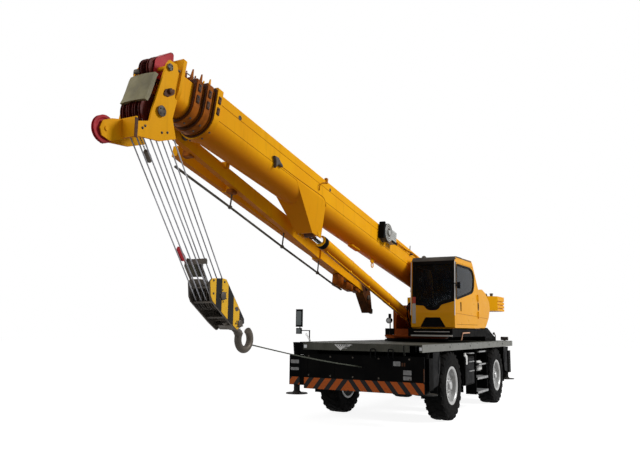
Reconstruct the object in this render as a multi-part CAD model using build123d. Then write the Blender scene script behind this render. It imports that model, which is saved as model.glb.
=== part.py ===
from build123d import *
import math
import os

# Two-axle rough-terrain mobile crane, boom over the front and lowered for travel.
# Millimetres. +X forward, +Y to the crane's left, +Z up, origin on the ground
# midway between the axles. The boom pieces are drawn along +X from the boom's
# foot pin and then raised to the boom angle.

# ---------------------------------------------------------------- driving sizes
wheelbase = 3500
wheel_track = 2170
tyre_radius = 640
tyre_width = 380
rim_seat_radius = 320
rim_flange_radius = 354
kingpin_y = 860
carrier_half_width = 1290
front_overhang = 1584
rear_overhang = 1644
deck_lip = 106
frame_half_width = 430
frame_top = 1180
deck_top = 1421
ring_over_deck = 69
slew_x = 200
plate_thick = 30

boom_angle = 10.4
foot_x = -1000
foot_z = 2645
base_half_width = 240
base_top = 300
arc_centre = -60
section_step = 25
section_wall = 9
base_front = 8920
collar_length = 100
collar_gap = 65
collar_rise = 34

lift_foot_x = 50
lift_foot_z = 1765
lift_pin_s = 6000
lift_pin_n = -550
barrel_radius = 105
rod_radius = 72

run_gap = 0.3      # between curved faces of neighbouring pieces
slide_gap = 0.4    # between telescoping pieces and their pads
clear_gap = 6      # between pieces that swing past each other

carrier_front = wheelbase / 2 + front_overhang
carrier_rear = -wheelbase / 2 - rear_overhang
deck_front = carrier_front + deck_lip
deck_rear = carrier_rear - 6
ring_top = deck_top + ring_over_deck
plate_inner_y = base_half_width + 30
upper_ring = 1490   # the superstructure is drawn over a ring at this height, then carried to ring_top

axle_xs = {"front": wheelbase / 2, "rear": -wheelbase / 2}
sides = {"left": 1, "right": -1}


# ---------------------------------------------------------------- small helpers
def block(x_span, y_span, z_span):
    """Box between two values on each axis."""
    (x0, x1), (y0, y1), (z0, z1) = x_span, y_span, z_span
    centre = Pos((x0 + x1) / 2, (y0 + y1) / 2, (z0 + z1) / 2)
    return centre * Box(abs(x1 - x0), abs(y1 - y0), abs(z1 - z0))


def slab(points, axis, low, high):
    """Prism of an outline that lies across the named axis, from low to high."""
    if axis == "x":
        outline = [(low, a, b) for a, b in points]
        way = (1, 0, 0)
    elif axis == "y":
        outline = [(a, low, b) for a, b in points]
        way = (0, 1, 0)
    else:
        outline = [(a, b, low) for a, b in points]
        way = (0, 0, 1)
    face = make_face(Polyline(*outline, close=True))
    return extrude(face, amount=high - low, dir=way)


def bar(start, end, radius):
    """Round bar between two points."""
    way = Vector(*end) - Vector(*start)
    plane = Plane(origin=start, z_dir=way)
    return extrude(plane * Circle(radius), way.length)


def cross_pin(x, z, radius, half_length, y_mid=0):
    """Round pin across the crane."""
    return bar((x, y_mid - half_length, z), (x, y_mid + half_length, z), radius)


def turned(points, x, y, z, outward):
    """Solid of revolution about a wheel's axle: points are (distance outward, radius)."""
    outline = [(x, y + outward * a, z + r) for a, r in points]
    face = make_face(Polyline(*outline, close=True))
    return revolve(face, Axis((x, y, z), (0, 1, 0)), 360)


def both_sides(shape):
    """A shape and its mirror image across the crane's centre plane."""
    return shape + mirror(shape, Plane.XZ)


def joined(shapes):
    """Union of a list of shapes."""
    total = shapes[0]
    for shape in shapes[1:]:
        total = total + shape
    return total


nodes = {}


# ---------------------------------------------------------------- carrier frame
def make_carrier_frame():
    """Box-section backbone, arched over both axles, with the slewing pedestal."""
    low, arch = 720, 890
    arch_half, slope = 480, 200
    x_front = carrier_front - box_depth - 4
    x_rear = carrier_rear + box_depth + 64
    outline = [(x_rear, frame_top), (x_rear, low)]
    for axle_x in (-wheelbase / 2, wheelbase / 2):
        outline += [(axle_x - arch_half - slope, low), (axle_x - arch_half, arch),
                    (axle_x + arch_half, arch), (axle_x + arch_half + slope, low)]
    outline += [(x_front, low), (x_front, frame_top)]
    beam = slab(outline, "y", -frame_half_width, frame_half_width)
    pedestal = Pos(slew_x, 0, frame_top) * Cylinder(
        620, ring_top - 60 - frame_top, align=(Align.CENTER, Align.CENTER, Align.MIN))
    bearers = []
    for x in (x_rear + 220, -1010, 850, x_front - 220):
        bearers.append(block((x - 40, x + 40), (-880, 880), (frame_top - 60, deck_top - 20)))
    return joined([beam, pedestal] + bearers)


def make_slewing_ring():
    """Outer race on the pedestal, with a bolt flange."""
    ring = Cylinder(700, 36, align=(Align.CENTER, Align.CENTER, Align.MIN))
    race = Cylinder(660, 60, align=(Align.CENTER, Align.CENTER, Align.MIN))
    bore = Cylinder(540, 60, align=(Align.CENTER, Align.CENTER, Align.MIN))
    return Pos(slew_x, 0, ring_top - 60) * (ring + race - bore)


# ---------------------------------------------------------------- outriggers
box_depth = 470
box_bottom = 586
box_top = 1213
box_half_width = 1050
channel_low = 745
channel_high = 1145
channel_width = 208
jack_half = 112
jack_y = 1180
jack_rod_radius = 58
jack_housing = (640, 1180)
float_radius = 205
outriggers = {  # end, side, channel (1 next to the crane's end), reach out of the box, float height
    "front_left": (1, 1, 0, 0, 560), "front_right": (1, -1, 1, 90, 470),
    "rear_left": (-1, 1, 0, 0, 470), "rear_right": (-1, -1, 1, 0, 470)}


def channel_x(end, lane):
    """Middle of a beam channel: lane 1 is next to the crane's end."""
    wall = 18
    edge = (carrier_front if end > 0 else -carrier_rear) - wall - channel_width / 2
    return end * (edge - (1 - lane) * (channel_width + wall))


def make_outrigger_box(end):
    """Cross box with two beam channels side by side and a deep end apron."""
    x_out = carrier_front if end > 0 else carrier_rear
    x_in = x_out - end * box_depth
    body = block((x_in, x_out), (-box_half_width, box_half_width), (channel_low - 25, box_top))
    for lane in (0, 1):
        x_mid = channel_x(end, lane)
        body -= block((x_mid - channel_width / 2, x_mid + channel_width / 2),
                      (-box_half_width - 1, box_half_width + 1), (channel_low, channel_high))
    apron = block((x_out - end * 18, x_out), (-box_half_width, box_half_width),
                  (box_bottom, channel_low - 25))
    if end > 0:
        apron += block((x_out - 18, x_out), (box_half_width, carrier_half_width - 6),
                       (box_bottom, box_top))
    inner_apron = block((x_in, x_in + end * 12), (-box_half_width + 60, box_half_width - 60),
                        (box_bottom + 60, channel_low - 25))
    return body + apron + inner_apron


def make_outrigger_beam(end, side, lane, reach):
    """Sliding beam with its jack housing at the outer end."""
    x_mid = channel_x(end, lane)
    half = channel_width / 2 - slide_gap
    inner_y = -side * 900
    end_y = side * (box_half_width + 10)
    beam = block((x_mid - half, x_mid + half), (inner_y, end_y),
                 (channel_low + slide_gap, channel_high - slide_gap))
    beam -= block((x_mid - half + 12, x_mid + half - 12), (inner_y - side, side * box_half_width),
                  (channel_low + 14, channel_high - 14))
    low, high = jack_housing
    housing = block((x_mid - jack_half + 4, x_mid + jack_half - 4),
                    (end_y, side * (carrier_half_width - 6 + reach)), (low, high))
    tall = deck_top - 6 if lane else deck_top - 130 - 2 * clear_gap - 4
    flare = 84 if lane else 74
    head = Pos(x_mid, side * (jack_y + reach), high) * Cone(
        64, flare, tall - high, align=(Align.CENTER, Align.CENTER, Align.MIN))
    bore = Pos(x_mid, side * (jack_y + reach), low - 5) * Cylinder(
        jack_rod_radius + run_gap, 1262 - low + 5, align=(Align.CENTER, Align.CENTER, Align.MIN))
    return beam + housing + head - bore


def make_jack(end, side, lane, reach, low):
    """Jack rod with its ball socket and round float."""
    x_mid = channel_x(end, lane)
    place = Pos(x_mid, side * (jack_y + reach), low)
    up = (Align.CENTER, Align.CENTER, Align.MIN)
    rod = Pos(0, 0, 40) * Cylinder(jack_rod_radius, 1210 - low, align=up)
    socket = Pos(0, 0, 16) * Cone(92, 64, 36, align=up)
    pad = Cone(float_radius, float_radius - 6, 17, align=up)
    return place * (rod + socket + pad)


# ---------------------------------------------------------------- deck and body
def make_deck():
    """Chequer-plate deck with folded edges, notched for the jack heads."""
    edge = 10
    skirt_low = deck_top - 130
    plate = block((deck_rear, deck_front), (-carrier_half_width, carrier_half_width),
                  (deck_top - 20, deck_top))
    side_skirt = block((deck_rear, deck_front), (carrier_half_width - edge, carrier_half_width),
                       (skirt_low, deck_top - 20))
    deck = plate + both_sides(side_skirt)
    for x0, x1 in ((deck_front - edge, deck_front), (deck_rear, deck_rear + edge)):
        deck += block((x0, x1), (-carrier_half_width, carrier_half_width), (skirt_low, deck_top - 20))
    for end in (-1, 1):
        x_mid = (carrier_front if end > 0 else carrier_rear) - end * 134
        deck += both_sides(block((x_mid - 20, x_mid + 20), (860, 890), (box_top, deck_top - 20)))
    deck -= Pos(slew_x, 0, deck_top - 10) * Cylinder(626, 60)
    deck -= block((-2520, -1880), (-400, 400), (deck_top - 30, deck_top + 10))
    for end, side, lane, reach, low in outriggers.values():
        notch_in = channel_x(end, 1) - end * (jack_half + 6)
        far = (deck_front if end > 0 else deck_rear) + end * 60
        if lane:
            deck -= block((notch_in, far), (side * (box_half_width - 36), side * (carrier_half_width + 110)),
                          (box_top, deck_top + 1))
        elif end > 0:
            deck -= block((deck_front - 2 * edge, far), (box_half_width + 10, carrier_half_width - 50),
                          (box_top, deck_top - 20))
    return deck


def make_fenders():
    """Folded arches over the four wheels."""
    thick = 6
    top = deck_top - 20
    parts = []
    for axle_x in axle_xs.values():
        outer = [(-806, 900), (-806, 1100), (-640, top), (640, top), (806, 1100), (806, 900)]
        inner = [(806 - thick, 900), (806 - thick, 1098), (636, top - thick),
                 (-636, top - thick), (-806 + thick, 1098), (-806 + thick, 900)]
        arch = slab([(axle_x + a, b) for a, b in outer + inner], "y", 930, carrier_half_width - 14)
        parts.append(arch)
    one_side = parts[0] + parts[1]
    return both_sides(one_side)


def make_side_steps():
    """Boarding steps between the wheels on each side: two stringers, four treads."""
    y_in, y_out = 1010, 1265
    parts = []
    for x in (-920, -30):
        parts.append(block((x - 8, x + 8), (y_in, y_out - 20), (330, deck_top - 20)))
    for z, depth in ((350, 250), (640, 230), (930, 210), (1200, 190)):
        parts.append(block((-912, -38), (y_out - depth, y_out), (z, z + 34)))
    hanger = block((-912, -38), (frame_half_width, y_in + 40), (1150, 1172))
    return both_sides(joined(parts) + hanger)


def make_side_tanks():
    """Fuel tank on the right, battery and tool box on the left, both slung from the frame."""
    box_left = block((90, 760), (frame_half_width, 1235), (560, 1140))
    box_left = fillet(box_left.edges().filter_by(Axis.X), 30)
    tank = block((90, 900), (-1235, -frame_half_width), (520, 1120))
    tank = fillet(tank.edges().filter_by(Axis.X).sort_by(Axis.Y)[:2], 120)
    filler = bar((760, -1080, 1120), (760, -1080, 1175), 45)
    return [box_left, tank + filler]


# ---------------------------------------------------------------- axles
def make_axle(axle_x):
    """Drive and steer axle: tubes, differential bowl, kingpin forks, links and struts."""
    z = tyre_radius
    tube_end = kingpin_y - 95
    tubes = bar((axle_x, -tube_end, z), (axle_x, tube_end, z), 78)
    bowl = turned([(-185, 0), (-150, 110), (-70, 185), (70, 185), (150, 110), (185, 0)],
                  axle_x, 0, z, 1)
    forks = []
    for side in (-1, 1):
        back = block((axle_x - 70, axle_x + 70), (side * (tube_end - 60), side * tube_end),
                     (z - 175, z + 175))
        arms = [block((axle_x - 54, axle_x + 54), (side * (tube_end - 10), side * kingpin_y),
                      (z + s * 132, z + s * 175)) for s in (-1, 1)]
        arms += [Pos(axle_x, side * kingpin_y, z + s * 153.5) * Cylinder(54, 43) for s in (-1, 1)]
        forks.append(joined([back] + arms))
    axle = joined([tubes, bowl] + forks)
    for side in (-1, 1):
        axle -= bar((axle_x, side * kingpin_y, z - 200), (axle_x, side * kingpin_y, z + 200), 30.3)
    struts = []
    for side in (-1, 1):
        low = (axle_x, side * 360, z + 60)
        high = (axle_x, side * 360, 900)
        struts.append(bar(low, high, 55))
    reach = 640 if axle_x < 0 else -640
    for side in (-1, 1):
        struts.append(bar((axle_x, side * 300, z - 40), (axle_x + reach, side * 300, 760), 32))
    return joined([axle] + struts) - make_carrier_frame()


def make_knuckle(axle_x, side):
    """Steering knuckle with kingpin and wheel spindle."""
    z = tyre_radius
    y = side * kingpin_y
    core = Pos(axle_x, y, z) * Cylinder(74, 2 * (132 - run_gap))
    pin = Pos(axle_x, y, z) * Cylinder(30, 350)
    spindle = bar((axle_x, y, z), (axle_x, side * 1150, z), 68)
    flange = bar((axle_x, side * 925, z), (axle_x, side * 950, z), 150)
    arm = block((axle_x - 190, axle_x - 40), (side * (kingpin_y - 6), side * (kingpin_y + 20)),
                (z - 90, z - 50))
    return joined([core, pin, spindle, flange, arm])


def make_tyre(axle_x, side):
    """Radial tyre body; blocks of the tread are left to the finish."""
    y = side * wheel_track / 2
    half = tyre_width / 2
    r0 = rim_seat_radius + run_gap
    points = [(-half + 26, r0), (-half + 26, 358), (-half + 8, 376), (-half, 450), (-half, 520), (-half + 14, 588),
              (-half + 40, 622), (-half + 80, tyre_radius - 4), (0, tyre_radius)]
    mirrored = [(-a, r) for a, r in reversed(points[:-1])]
    return turned(points + mirrored, axle_x, y, tyre_radius, side)


def make_rim(axle_x, side):
    """Steel rim: barrel with flanges, dished disc with hand holes, planetary hub."""
    y = side * wheel_track / 2
    half = tyre_width / 2 - 26 + run_gap
    seat = rim_seat_radius
    barrel = turned([(-half - 14, rim_flange_radius), (-half, rim_flange_radius), (-half, seat),
                     (half, seat), (half, rim_flange_radius), (half + 14, rim_flange_radius),
                     (half + 14, seat - 6), (half - 6, seat - 22), (-half + 6, seat - 22),
                     (-half - 14, seat - 6)], axle_x, y, tyre_radius, side)
    disc = turned([(10, 0), (10, 150), (60, 215), (60, seat - 20), (76, seat - 20), (76, 205),
                   (40, 150), (96, 150), (120, 118), (120, 0)], axle_x, y, tyre_radius, side)
    bore = bar((axle_x, side * 900, tyre_radius), (axle_x, side * 1152, tyre_radius), 68 + run_gap)
    holes = []
    for k in range(8):
        a = math.radians(45 * k + 22.5)
        hx, hz = axle_x + 262 * math.cos(a), tyre_radius + 262 * math.sin(a)
        holes.append(bar((hx, y + side * 40, hz), (hx, y + side * 100, hz), 28))
    rim = barrel + disc - bore
    for hole in holes:
        rim -= hole
    return rim


def make_driveline():
    """Transfer box under the frame and propeller shafts to both axles."""
    case = block((-230, 230), (-170, 170), (480, 720))
    case = fillet(case.edges().filter_by(Axis.X), 40)
    front = bar((230, 0, 620), (wheelbase / 2 - 186, 0, tyre_radius), 42)
    rear = bar((-230, 0, 620), (-wheelbase / 2 + 186, 0, tyre_radius), 42)
    return case + front + rear


# ---------------------------------------------------------------- engine and hood
hood_front = -1780
hood_high = deck_top + 319


def make_engine():
    """Engine and gearbox as one plain mass under the hood."""
    return block((-2500, -1900), (-380, 380), (frame_top, frame_top + 380))


def make_engine_hood():
    """Sloping rear hood, open underneath."""
    outer = [(hood_front, deck_top), (hood_front, hood_high - 60), (hood_front - 60, hood_high),
             (hood_front - 240, hood_high), (-2860, deck_top + 60), (-2860, deck_top)]
    inner = [(hood_front - 8, deck_top), (hood_front - 8, hood_high - 64),
             (hood_front - 64, hood_high - 8), (hood_front - 238, hood_high - 8),
             (-2852, deck_top + 54), (-2852, deck_top)]
    hood = slab(outer, "y", -1000, 1000)
    return hood - slab(inner, "y", -992, 992)


# ---------------------------------------------------------------- superstructure
turret_side = [
    (-2200, 1900), (-2200, 2340), (-1420, 2560), (-1230, 2800), (-1090, 2850), (-910, 2850),
    (-760, 2780), (-300, 2350), (240, 2120), (600, 2040), (700, 1960), (760, 1560),
    (-1420, 1560), (-1640, 1800)]


def make_turret():
    """Two side plates on the slewing base, tied by cross walls and the two boom pins."""
    y0 = plate_inner_y
    y1 = plate_inner_y + plate_thick
    plates = both_sides(slab(turret_side, "y", y0, y1))
    base = Pos(slew_x, 0, upper_ring + run_gap) * Cylinder(
        690, 50 - run_gap, align=(Align.CENTER, Align.CENTER, Align.MIN))
    floor = block((-1420, 1290), (-y1, y1), (1530, 1562))
    front_wall = slab([(742, 1560), (762, 1560), (744, 1690), (724, 1690)], "y", -y0, y0)
    rear_wall = block((-1620, -1590), (-y0, y0), (1800, 2040))
    foot_pin = cross_pin(foot_x, foot_z, 60, y1 + 26)
    lift_pin = cross_pin(lift_foot_x, lift_foot_z, 50, y1 + 20)
    bosses = both_sides(bar((foot_x, y1, foot_z), (foot_x, y1 + 24, foot_z), 110))
    return joined([plates, base, floor, front_wall, rear_wall, foot_pin, lift_pin, bosses])


def make_turntable_deck():
    """Black working platform on both sides of the turret, inside the slewing circle."""
    y_in = plate_inner_y + plate_thick
    left = block((-1400, 1500), (y_in, 1215), (1540, 1700))
    right = block((-1400, -480), (-1040, -y_in), (1540, 1700))
    circle = Pos(slew_x, 0, 1620) * Cylinder(1790, 400)
    return [left & circle, right & circle]


def make_counterweight():
    """Cast tail weight, hung on the rear of the side plates."""
    y_in = plate_inner_y + plate_thick
    outline = [(-2205, 980), (-2205, -980), (-2360, -1190), (-3060, -1190), (-3190, -1060),
               (-3240, -500), (-3240, 500), (-3190, 1060), (-3060, 1190), (-2360, 1190)]
    upper = slab(outline, "z", 2160, 2520)
    for z in (2215, 2300, 2385):
        upper -= slab([(x, y) for x, y in outline if x < -2300], "z", z, z + 22) - slab(
            [(x + 24, y * 0.98) for x, y in outline if x < -2300], "z", z, z + 22)
    keel = block((-2950, -2205), (-700, 700), (1900, 2160))
    ears = both_sides(block((-2205, -2000), (y_in, y_in + 40), (1980, 2300)))
    return joined([upper, keel, ears])


def make_winches():
    """Main and auxiliary hoist drums between the side plates."""
    drums = []
    for x, z in ((-1480, 2220), (-1960, 2110)):
        profile = [(-250, 0), (-250, 205), (-226, 205), (-226, 150), (226, 150), (226, 205),
                   (250, 205), (250, 0)]
        drum = turned(profile, x, 0, z, 1)
        axle = cross_pin(x, z, 45, plate_inner_y)
        drums.append(drum + axle)
    return drums


# ---------------------------------------------------------------- cab
cab_y = (plate_inner_y + plate_thick + 50, 1255)
cab_side = [(1455, 1715), (1458, 2010), (1395, 3050), (1300, 3135), (190, 3150), (90, 3080),
            (-330, 2560), (-330, 1715)]
cab_wall = 42


def cab_form(inset):
    """The cab's closed outer form, shrunk by inset on every side."""
    face = make_face(Polyline(*[(x, 0, z) for x, z in cab_side], close=True))
    shrunk = offset(face, -inset, kind=Kind.INTERSECTION) if inset else face
    solid = extrude(shrunk, amount=cab_y[1] - cab_y[0] - 2 * inset, dir=(0, 1, 0))
    low = solid.bounding_box().min.Y
    return Pos(0, cab_y[0] + inset - low, 0) * solid


windscreen = [  # y, z: dipped lower edge, upright sides
    (425, 2212), (650, 2194), (714, 2104), (888, 2106), (952, 2206), (1210, 2276),
    (1210, 3000), (425, 3000)]


def front_window(gap):
    """Windscreen opening, with the dipped lower edge."""
    face = make_face(Polyline(*[(0, y, z) for y, z in windscreen], close=True))
    if gap:
        face = offset(face, -gap, kind=Kind.INTERSECTION)
    return Pos(1200, 0, 0) * extrude(face, amount=400, dir=(1, 0, 0))


door_outline = [(-240, 1790), (1330, 1790), (1328, 2080), (1275, 3010), (100, 3010), (-240, 2590)]
door_glass_outline = [
    (1300, 2290), (1262, 2975), (300, 2975), (90, 2925), (5, 2800), (20, 2620), (90, 2520),
    (200, 2468)]


def side_windows(gap):
    """Openings to the boom side and the rear."""
    right = slab([(150 + gap, 2350 + gap), (1250 - gap, 2350 + gap), (1220 - gap, 2960 - gap),
                  (300 + gap, 2960 - gap), (150 + gap, 2780)], "y", cab_y[0] - 20, cab_y[0] + 100)
    roof = block((320 + gap, 1150 - gap), (cab_y[0] + 140 + gap, cab_y[1] - 140 - gap), (3080, 3200))
    return [right, roof]


cab_notch = [(534, 1722), (648, 1920), (952, 1920), (1072, 1722)]  # y, z of the front recess
hinge_x = -252
hinge_y = cab_y[1] + 14
hinge_zs = (1960, 2330)


def make_cab_shell():
    """Hollow operator's cab with window and door openings."""
    form = cab_form(0)
    edges = form.edges().filter_by(Axis.Y)
    form = fillet(edges, 22)
    shell = form - cab_form(cab_wall)
    shell -= front_window(0)
    shell -= slab(cab_notch, "x", 1432, 1500)
    for window in side_windows(0):
        shell -= window
    grown = offset(make_face(Polyline(*[(x, cab_y[1] - 100, z) for x, z in door_outline],
                                      close=True)), clear_gap, kind=Kind.INTERSECTION)
    shell -= extrude(grown, amount=160, dir=(0, 1, 0))
    feet = [block((x, x + 80), (380, 1200), (1700, 1715)) for x in (-280, 1330)]
    hinge = []
    for z in hinge_zs:
        for z0 in (z - 34, z + 84):
            hinge.append(block((hinge_x - 13, hinge_x + 11), (cab_y[1], hinge_y + 10), (z0, z0 + 30)))
        hinge.append(bar((hinge_x, hinge_y, z - 4), (hinge_x, hinge_y, z + 84), 6))
    return joined([shell] + feet + hinge)


def glass_sheet(cutter):
    """Pane that follows the cab's skin inside one opening."""
    return (cab_form(10) - cab_form(16)) & cutter


def make_cab_glass():
    """Windscreen, boom-side pane and roof pane."""
    panes = [glass_sheet(front_window(run_gap))]
    for window in side_windows(run_gap):
        panes.append(glass_sheet(window))
    return [pane.solids().sort_by(SortBy.VOLUME)[-1] for pane in panes]


def make_cab_door():
    """Side door with its window opening, hung at the rear edge."""
    door = slab(door_outline, "y", cab_y[1] - 40, cab_y[1])
    inner = offset(make_face(Polyline(*[(x, cab_y[1] - 60, z) for x, z in door_glass_outline],
                                      close=True)), 0.1, kind=Kind.INTERSECTION)
    door -= extrude(inner, amount=100, dir=(0, 1, 0))
    recess = block((985, 1060), (cab_y[1] - 14, cab_y[1] + 1), (2050, 2236))
    door -= recess
    barrels = []
    for z in hinge_zs:
        sleeve = bar((hinge_x, hinge_y, z), (hinge_x, hinge_y, z + 80), 11)
        leaf = block((hinge_x, hinge_x + 60), (cab_y[1], cab_y[1] + 8), (z, z + 80))
        leaf += block((hinge_x + 4, hinge_x + 20), (cab_y[1] + 2, hinge_y), (z, z + 80))
        barrels.append(sleeve + leaf - bar((hinge_x, hinge_y, z - 1), (hinge_x, hinge_y, z + 81), 6.1))
    return joined([door] + barrels)


def make_door_glass():
    """Pane in the door."""
    return slab(door_glass_outline, "y", cab_y[1] - 20, cab_y[1] - 14)


def make_operator_seat():
    """Seat on its pedestal with armrest consoles, and the steering column."""
    floor = cab_wall + 1715
    mid = sum(cab_y) / 2
    base = block((150, 520), (mid - 180, mid + 180), (floor, floor + 260))
    cushion = block((100, 600), (mid - 240, mid + 240), (floor + 260, floor + 380))
    cushion = fillet(cushion.edges().filter_by(Axis.Z), 60)
    back = slab([(90, floor + 380), (210, floor + 380), (150, floor + 1050), (60, floor + 1050)],
                "y", mid - 220, mid + 220)
    arms = [block((200, 640), (mid + s * 250, mid + s * 340), (floor + 420, floor + 520))
            for s in (-1, 1)]
    stands = [block((260, 400), (mid + s * 180, mid + s * 340), (floor, floor + 420))
              for s in (-1, 1)]
    column = bar((1176, mid, floor + 16), (995, mid, floor + 662), 38)
    column += block((1110, 1240), (mid - 60, mid + 60), (floor, floor + 30))
    wheel = Pos(985, mid, floor + 672) * Rot(0, -16, 0) * Cylinder(190, 26)
    return [joined([base, cushion, back] + arms + stands), column + wheel]


def make_rear_housing():
    """Rounded cover behind the cab on the left."""
    outline = [(-336, 1725), (-336, 2560), (-860, 2600), (-1180, 2520), (-1470, 2330),
               (-1530, 2170), (-1400, 1960), (-1130, 1760), (-1000, 1725)]
    cover = slab(outline, "y", plate_inner_y + 75, 1200)
    edges = cover.edges().filter_by(Axis.Y).sort_by(Axis.X)
    cover = fillet(edges[:6], 70)
    feet = block((-1000, -400), (360, 1100), (1700, 1725))
    return cover + feet


def make_right_housing():
    """Hydraulic tank and valve cover on the right."""
    outline = [(-1390, 1700), (-1390, 2180), (-1310, 2260), (-1010, 2260), (-960, 2200), (-960, 1700)]
    cover = slab(outline, "y", -1030, -plate_inner_y - 75)
    return fillet(cover.edges().filter_by(Axis.X).sort_by(Axis.Z)[-2:], 60)


# ---------------------------------------------------------------- boom
def tube_face(step):
    """Boom section outline: flat top, straight sides, round keel, shrunk by step."""
    half = base_half_width - step
    top = base_top - step
    face = Pos(0, (top + arc_centre) / 2) * Rectangle(2 * half, top - arc_centre)
    face += Pos(0, arc_centre) * Circle(half)
    corners = face.vertices().sort_by(Axis.Y)[-2:]
    return fillet(corners, 28)


def tube(outer_step, inner_step, s0, s1):
    """Length of boom section between two outlines."""
    ring = tube_face(outer_step) - tube_face(inner_step)
    return extrude(Plane.YZ.offset(s0) * ring, amount=s1 - s0)


def solid_tube(step, s0, s1):
    """Filled length of boom section."""
    return extrude(Plane.YZ.offset(s0) * tube_face(step), amount=s1 - s0)


def to_crane(shape):
    """Carry a piece from boom axes to the crane, at the travel angle."""
    return Pos(foot_x, 0, foot_z) * Rot(0, -boom_angle, 0) * shape


def rope_guide(s, step):
    """Upright rope guide on a collar."""
    top = base_top - step + collar_rise
    post = slab([(s - 30, top - 2), (s + 40, top - 2), (s + 34, top + 70), (s + 12, top + 190),
                 (s + 2, top + 190), (s - 14, top + 70)], "y", -60, -44)
    return both_sides(post) + block((s - 14, s + 24), (-60, 60), (top + 60, top + 78))


def make_collar(k, s0):
    """Front collar of section k, with pads that guide the next one."""
    step = k * section_step
    next_step = (k + 1) * section_step
    ring = tube(step - collar_rise, next_step - slide_gap, s0, s0 + collar_length)
    return ring + rope_guide(s0 + 30, step)


def collar_start(k):
    """Where the collar of section k begins along the boom."""
    return base_front + k * (collar_length + collar_gap)


def make_section(k):
    """Telescoping section k with its rear shoe."""
    step = k * section_step
    inner = step + section_wall
    start = 620 + k * 140
    outer_bore = (k - 1) * section_step + section_wall
    shoe = tube(outer_bore + slide_gap, inner, start, start + 130)
    body = tube(step, inner, start + 130, collar_start(k) + 1)
    return shoe + body


def wedge(top_s, top_y, top_n, low_s, low_y, low_n):
    """Tapered block between a wide face on the boom and a narrow one at the pin."""
    faces = []
    for s, y, n in ((top_s, top_y, top_n), (low_s, low_y, low_n)):
        plane = Plane(origin=((s[0] + s[1]) / 2, 0, n), x_dir=(1, 0, 0), z_dir=(0, 0, 1))
        faces.append(plane * Rectangle(s[1] - s[0], 2 * y))
    return loft(faces)


def make_lift_bracket():
    """Hollow V bracket under the boom, open to the rear, with a pin stub in each cheek."""
    s, n = lift_pin_s, lift_pin_n
    top_n, low_n = arc_centre, n - 70
    wide = base_half_width + 6
    bracket = wedge((s + 30, s + 975), wide, top_n, (s - 100, s + 190), 142, low_n)
    bracket -= wedge((s - 120, s + 952), wide - 16, top_n + 1, (s - 300, s + 168), 126, low_n - 1)
    stubs = both_sides(bar((s, 92, n), (s, 150, n), 62))
    caps = both_sides(bar((s, 150, n), (s, 156, n), 44))
    return joined([bracket, stubs, caps])


def make_boom_base():
    """Base section: foot, tube, lift bracket and front collar."""
    step, inner = 0, section_wall
    body = tube(step, inner, 420, base_front + 1)
    back = solid_tube(step, 400, 430)
    foot = slab([(-150, -40), (-110, -120), (0, -155), (420, -298), (900, -290), (900, 180),
                 (420, 260), (60, 150), (-90, 120), (-150, 50)], "y", base_half_width - 60,
                base_half_width)
    feet = both_sides(foot) - solid_tube(inner - 1, 440, 2000)
    feet -= bar((0, -400, 0), (0, 400, 0), 60.1)
    bracket = make_lift_bracket() - solid_tube(0, lift_pin_s - 400, lift_pin_s + 1500)
    return joined([body, back, feet, bracket, make_collar(0, base_front)])


head_start = base_front + 740
head_sheave_s = head_start + 200
head_sheave_n = arc_centre - base_half_width - 140
sheave_radius = 205
rope_ys = (-132, -44, 44, 132)
head_outline = [  # s from head_start, n
    (-20, 60), (90, 219), (209, 207), (240, 140), (318, -474), (323, -617), (481, -697),
    (442, -853), (123, -764), (-107, -630), (2, -426), (-23, -117)]
aux_sheave = (head_start + 682, -856)


def head_plate(y0, y1):
    """Side plate of the boom head."""
    return slab([(head_start + s, n) for s, n in head_outline], "y", y0, y1)


def make_boom_head():
    """Last section with its head plates, cross walls and front frame."""
    k = 3
    step = k * section_step
    inner = step + section_wall
    start = 620 + k * 140
    outer_bore = (k - 1) * section_step + section_wall
    shoe = tube(outer_bore + slide_gap, inner, start, start + 130)
    body = tube(step, inner, start + 130, head_start)
    h = head_start
    flange = tube(-35, inner, h - 30, h + 20)
    flange -= block((h - 40, h + 30), (-160, 160), (-500, arc_centre - base_half_width + 70))
    y0 = base_half_width - 20
    plates = both_sides(head_plate(y0, y0 + 24))
    top = slab([(h + 10, 60), (h + 10, 140), (h + 30, 160), (h + 30, 60)], "y", -y0, y0)
    lower = slab([(h + 335, -640), (h + 462, -704), (h + 456, -726), (h + 329, -662)], "y", -y0, y0)
    axle = bar((head_sheave_s, -y0 - 42, head_sheave_n), (head_sheave_s, y0 + 42, head_sheave_n), 45)
    idler = bar((h + 196, -y0 - 36, 116), (h + 196, y0 + 36, 116), 28)
    return joined([shoe, body, flange, plates, top, lower, axle, idler])


def grooved_wheel(s, n, y, radius, bore, half=20):
    """Rope sheave."""
    rim_depth = 26
    outline = [(-half, bore), (-half, bore + 28), (-9, bore + 34), (-9, radius - 40),
               (-half, radius - 26), (-half, radius), (-half + 6, radius), (-9.5, radius - rim_depth),
               (9.5, radius - rim_depth), (half - 6, radius), (half, radius), (half, radius - 26),
               (9, radius - 40), (9, bore + 34), (half, bore + 28), (half, bore)]
    return turned(outline, s, y, n, 1)


def make_head_sheaves():
    """Four lower rope sheaves, two upper idlers and the nose arm's single sheave."""
    wheels = []
    for y in rope_ys:
        wheels.append(grooved_wheel(head_sheave_s, head_sheave_n, y, sheave_radius, 45 + run_gap))
    for y in (-60, 60):
        wheels.append(grooved_wheel(head_start + 196, 116, y, 150, 28 + run_gap))
    wheels.append(grooved_wheel(aux_sheave[0], aux_sheave[1], 0, 146, 25 + run_gap))
    return wheels


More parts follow.
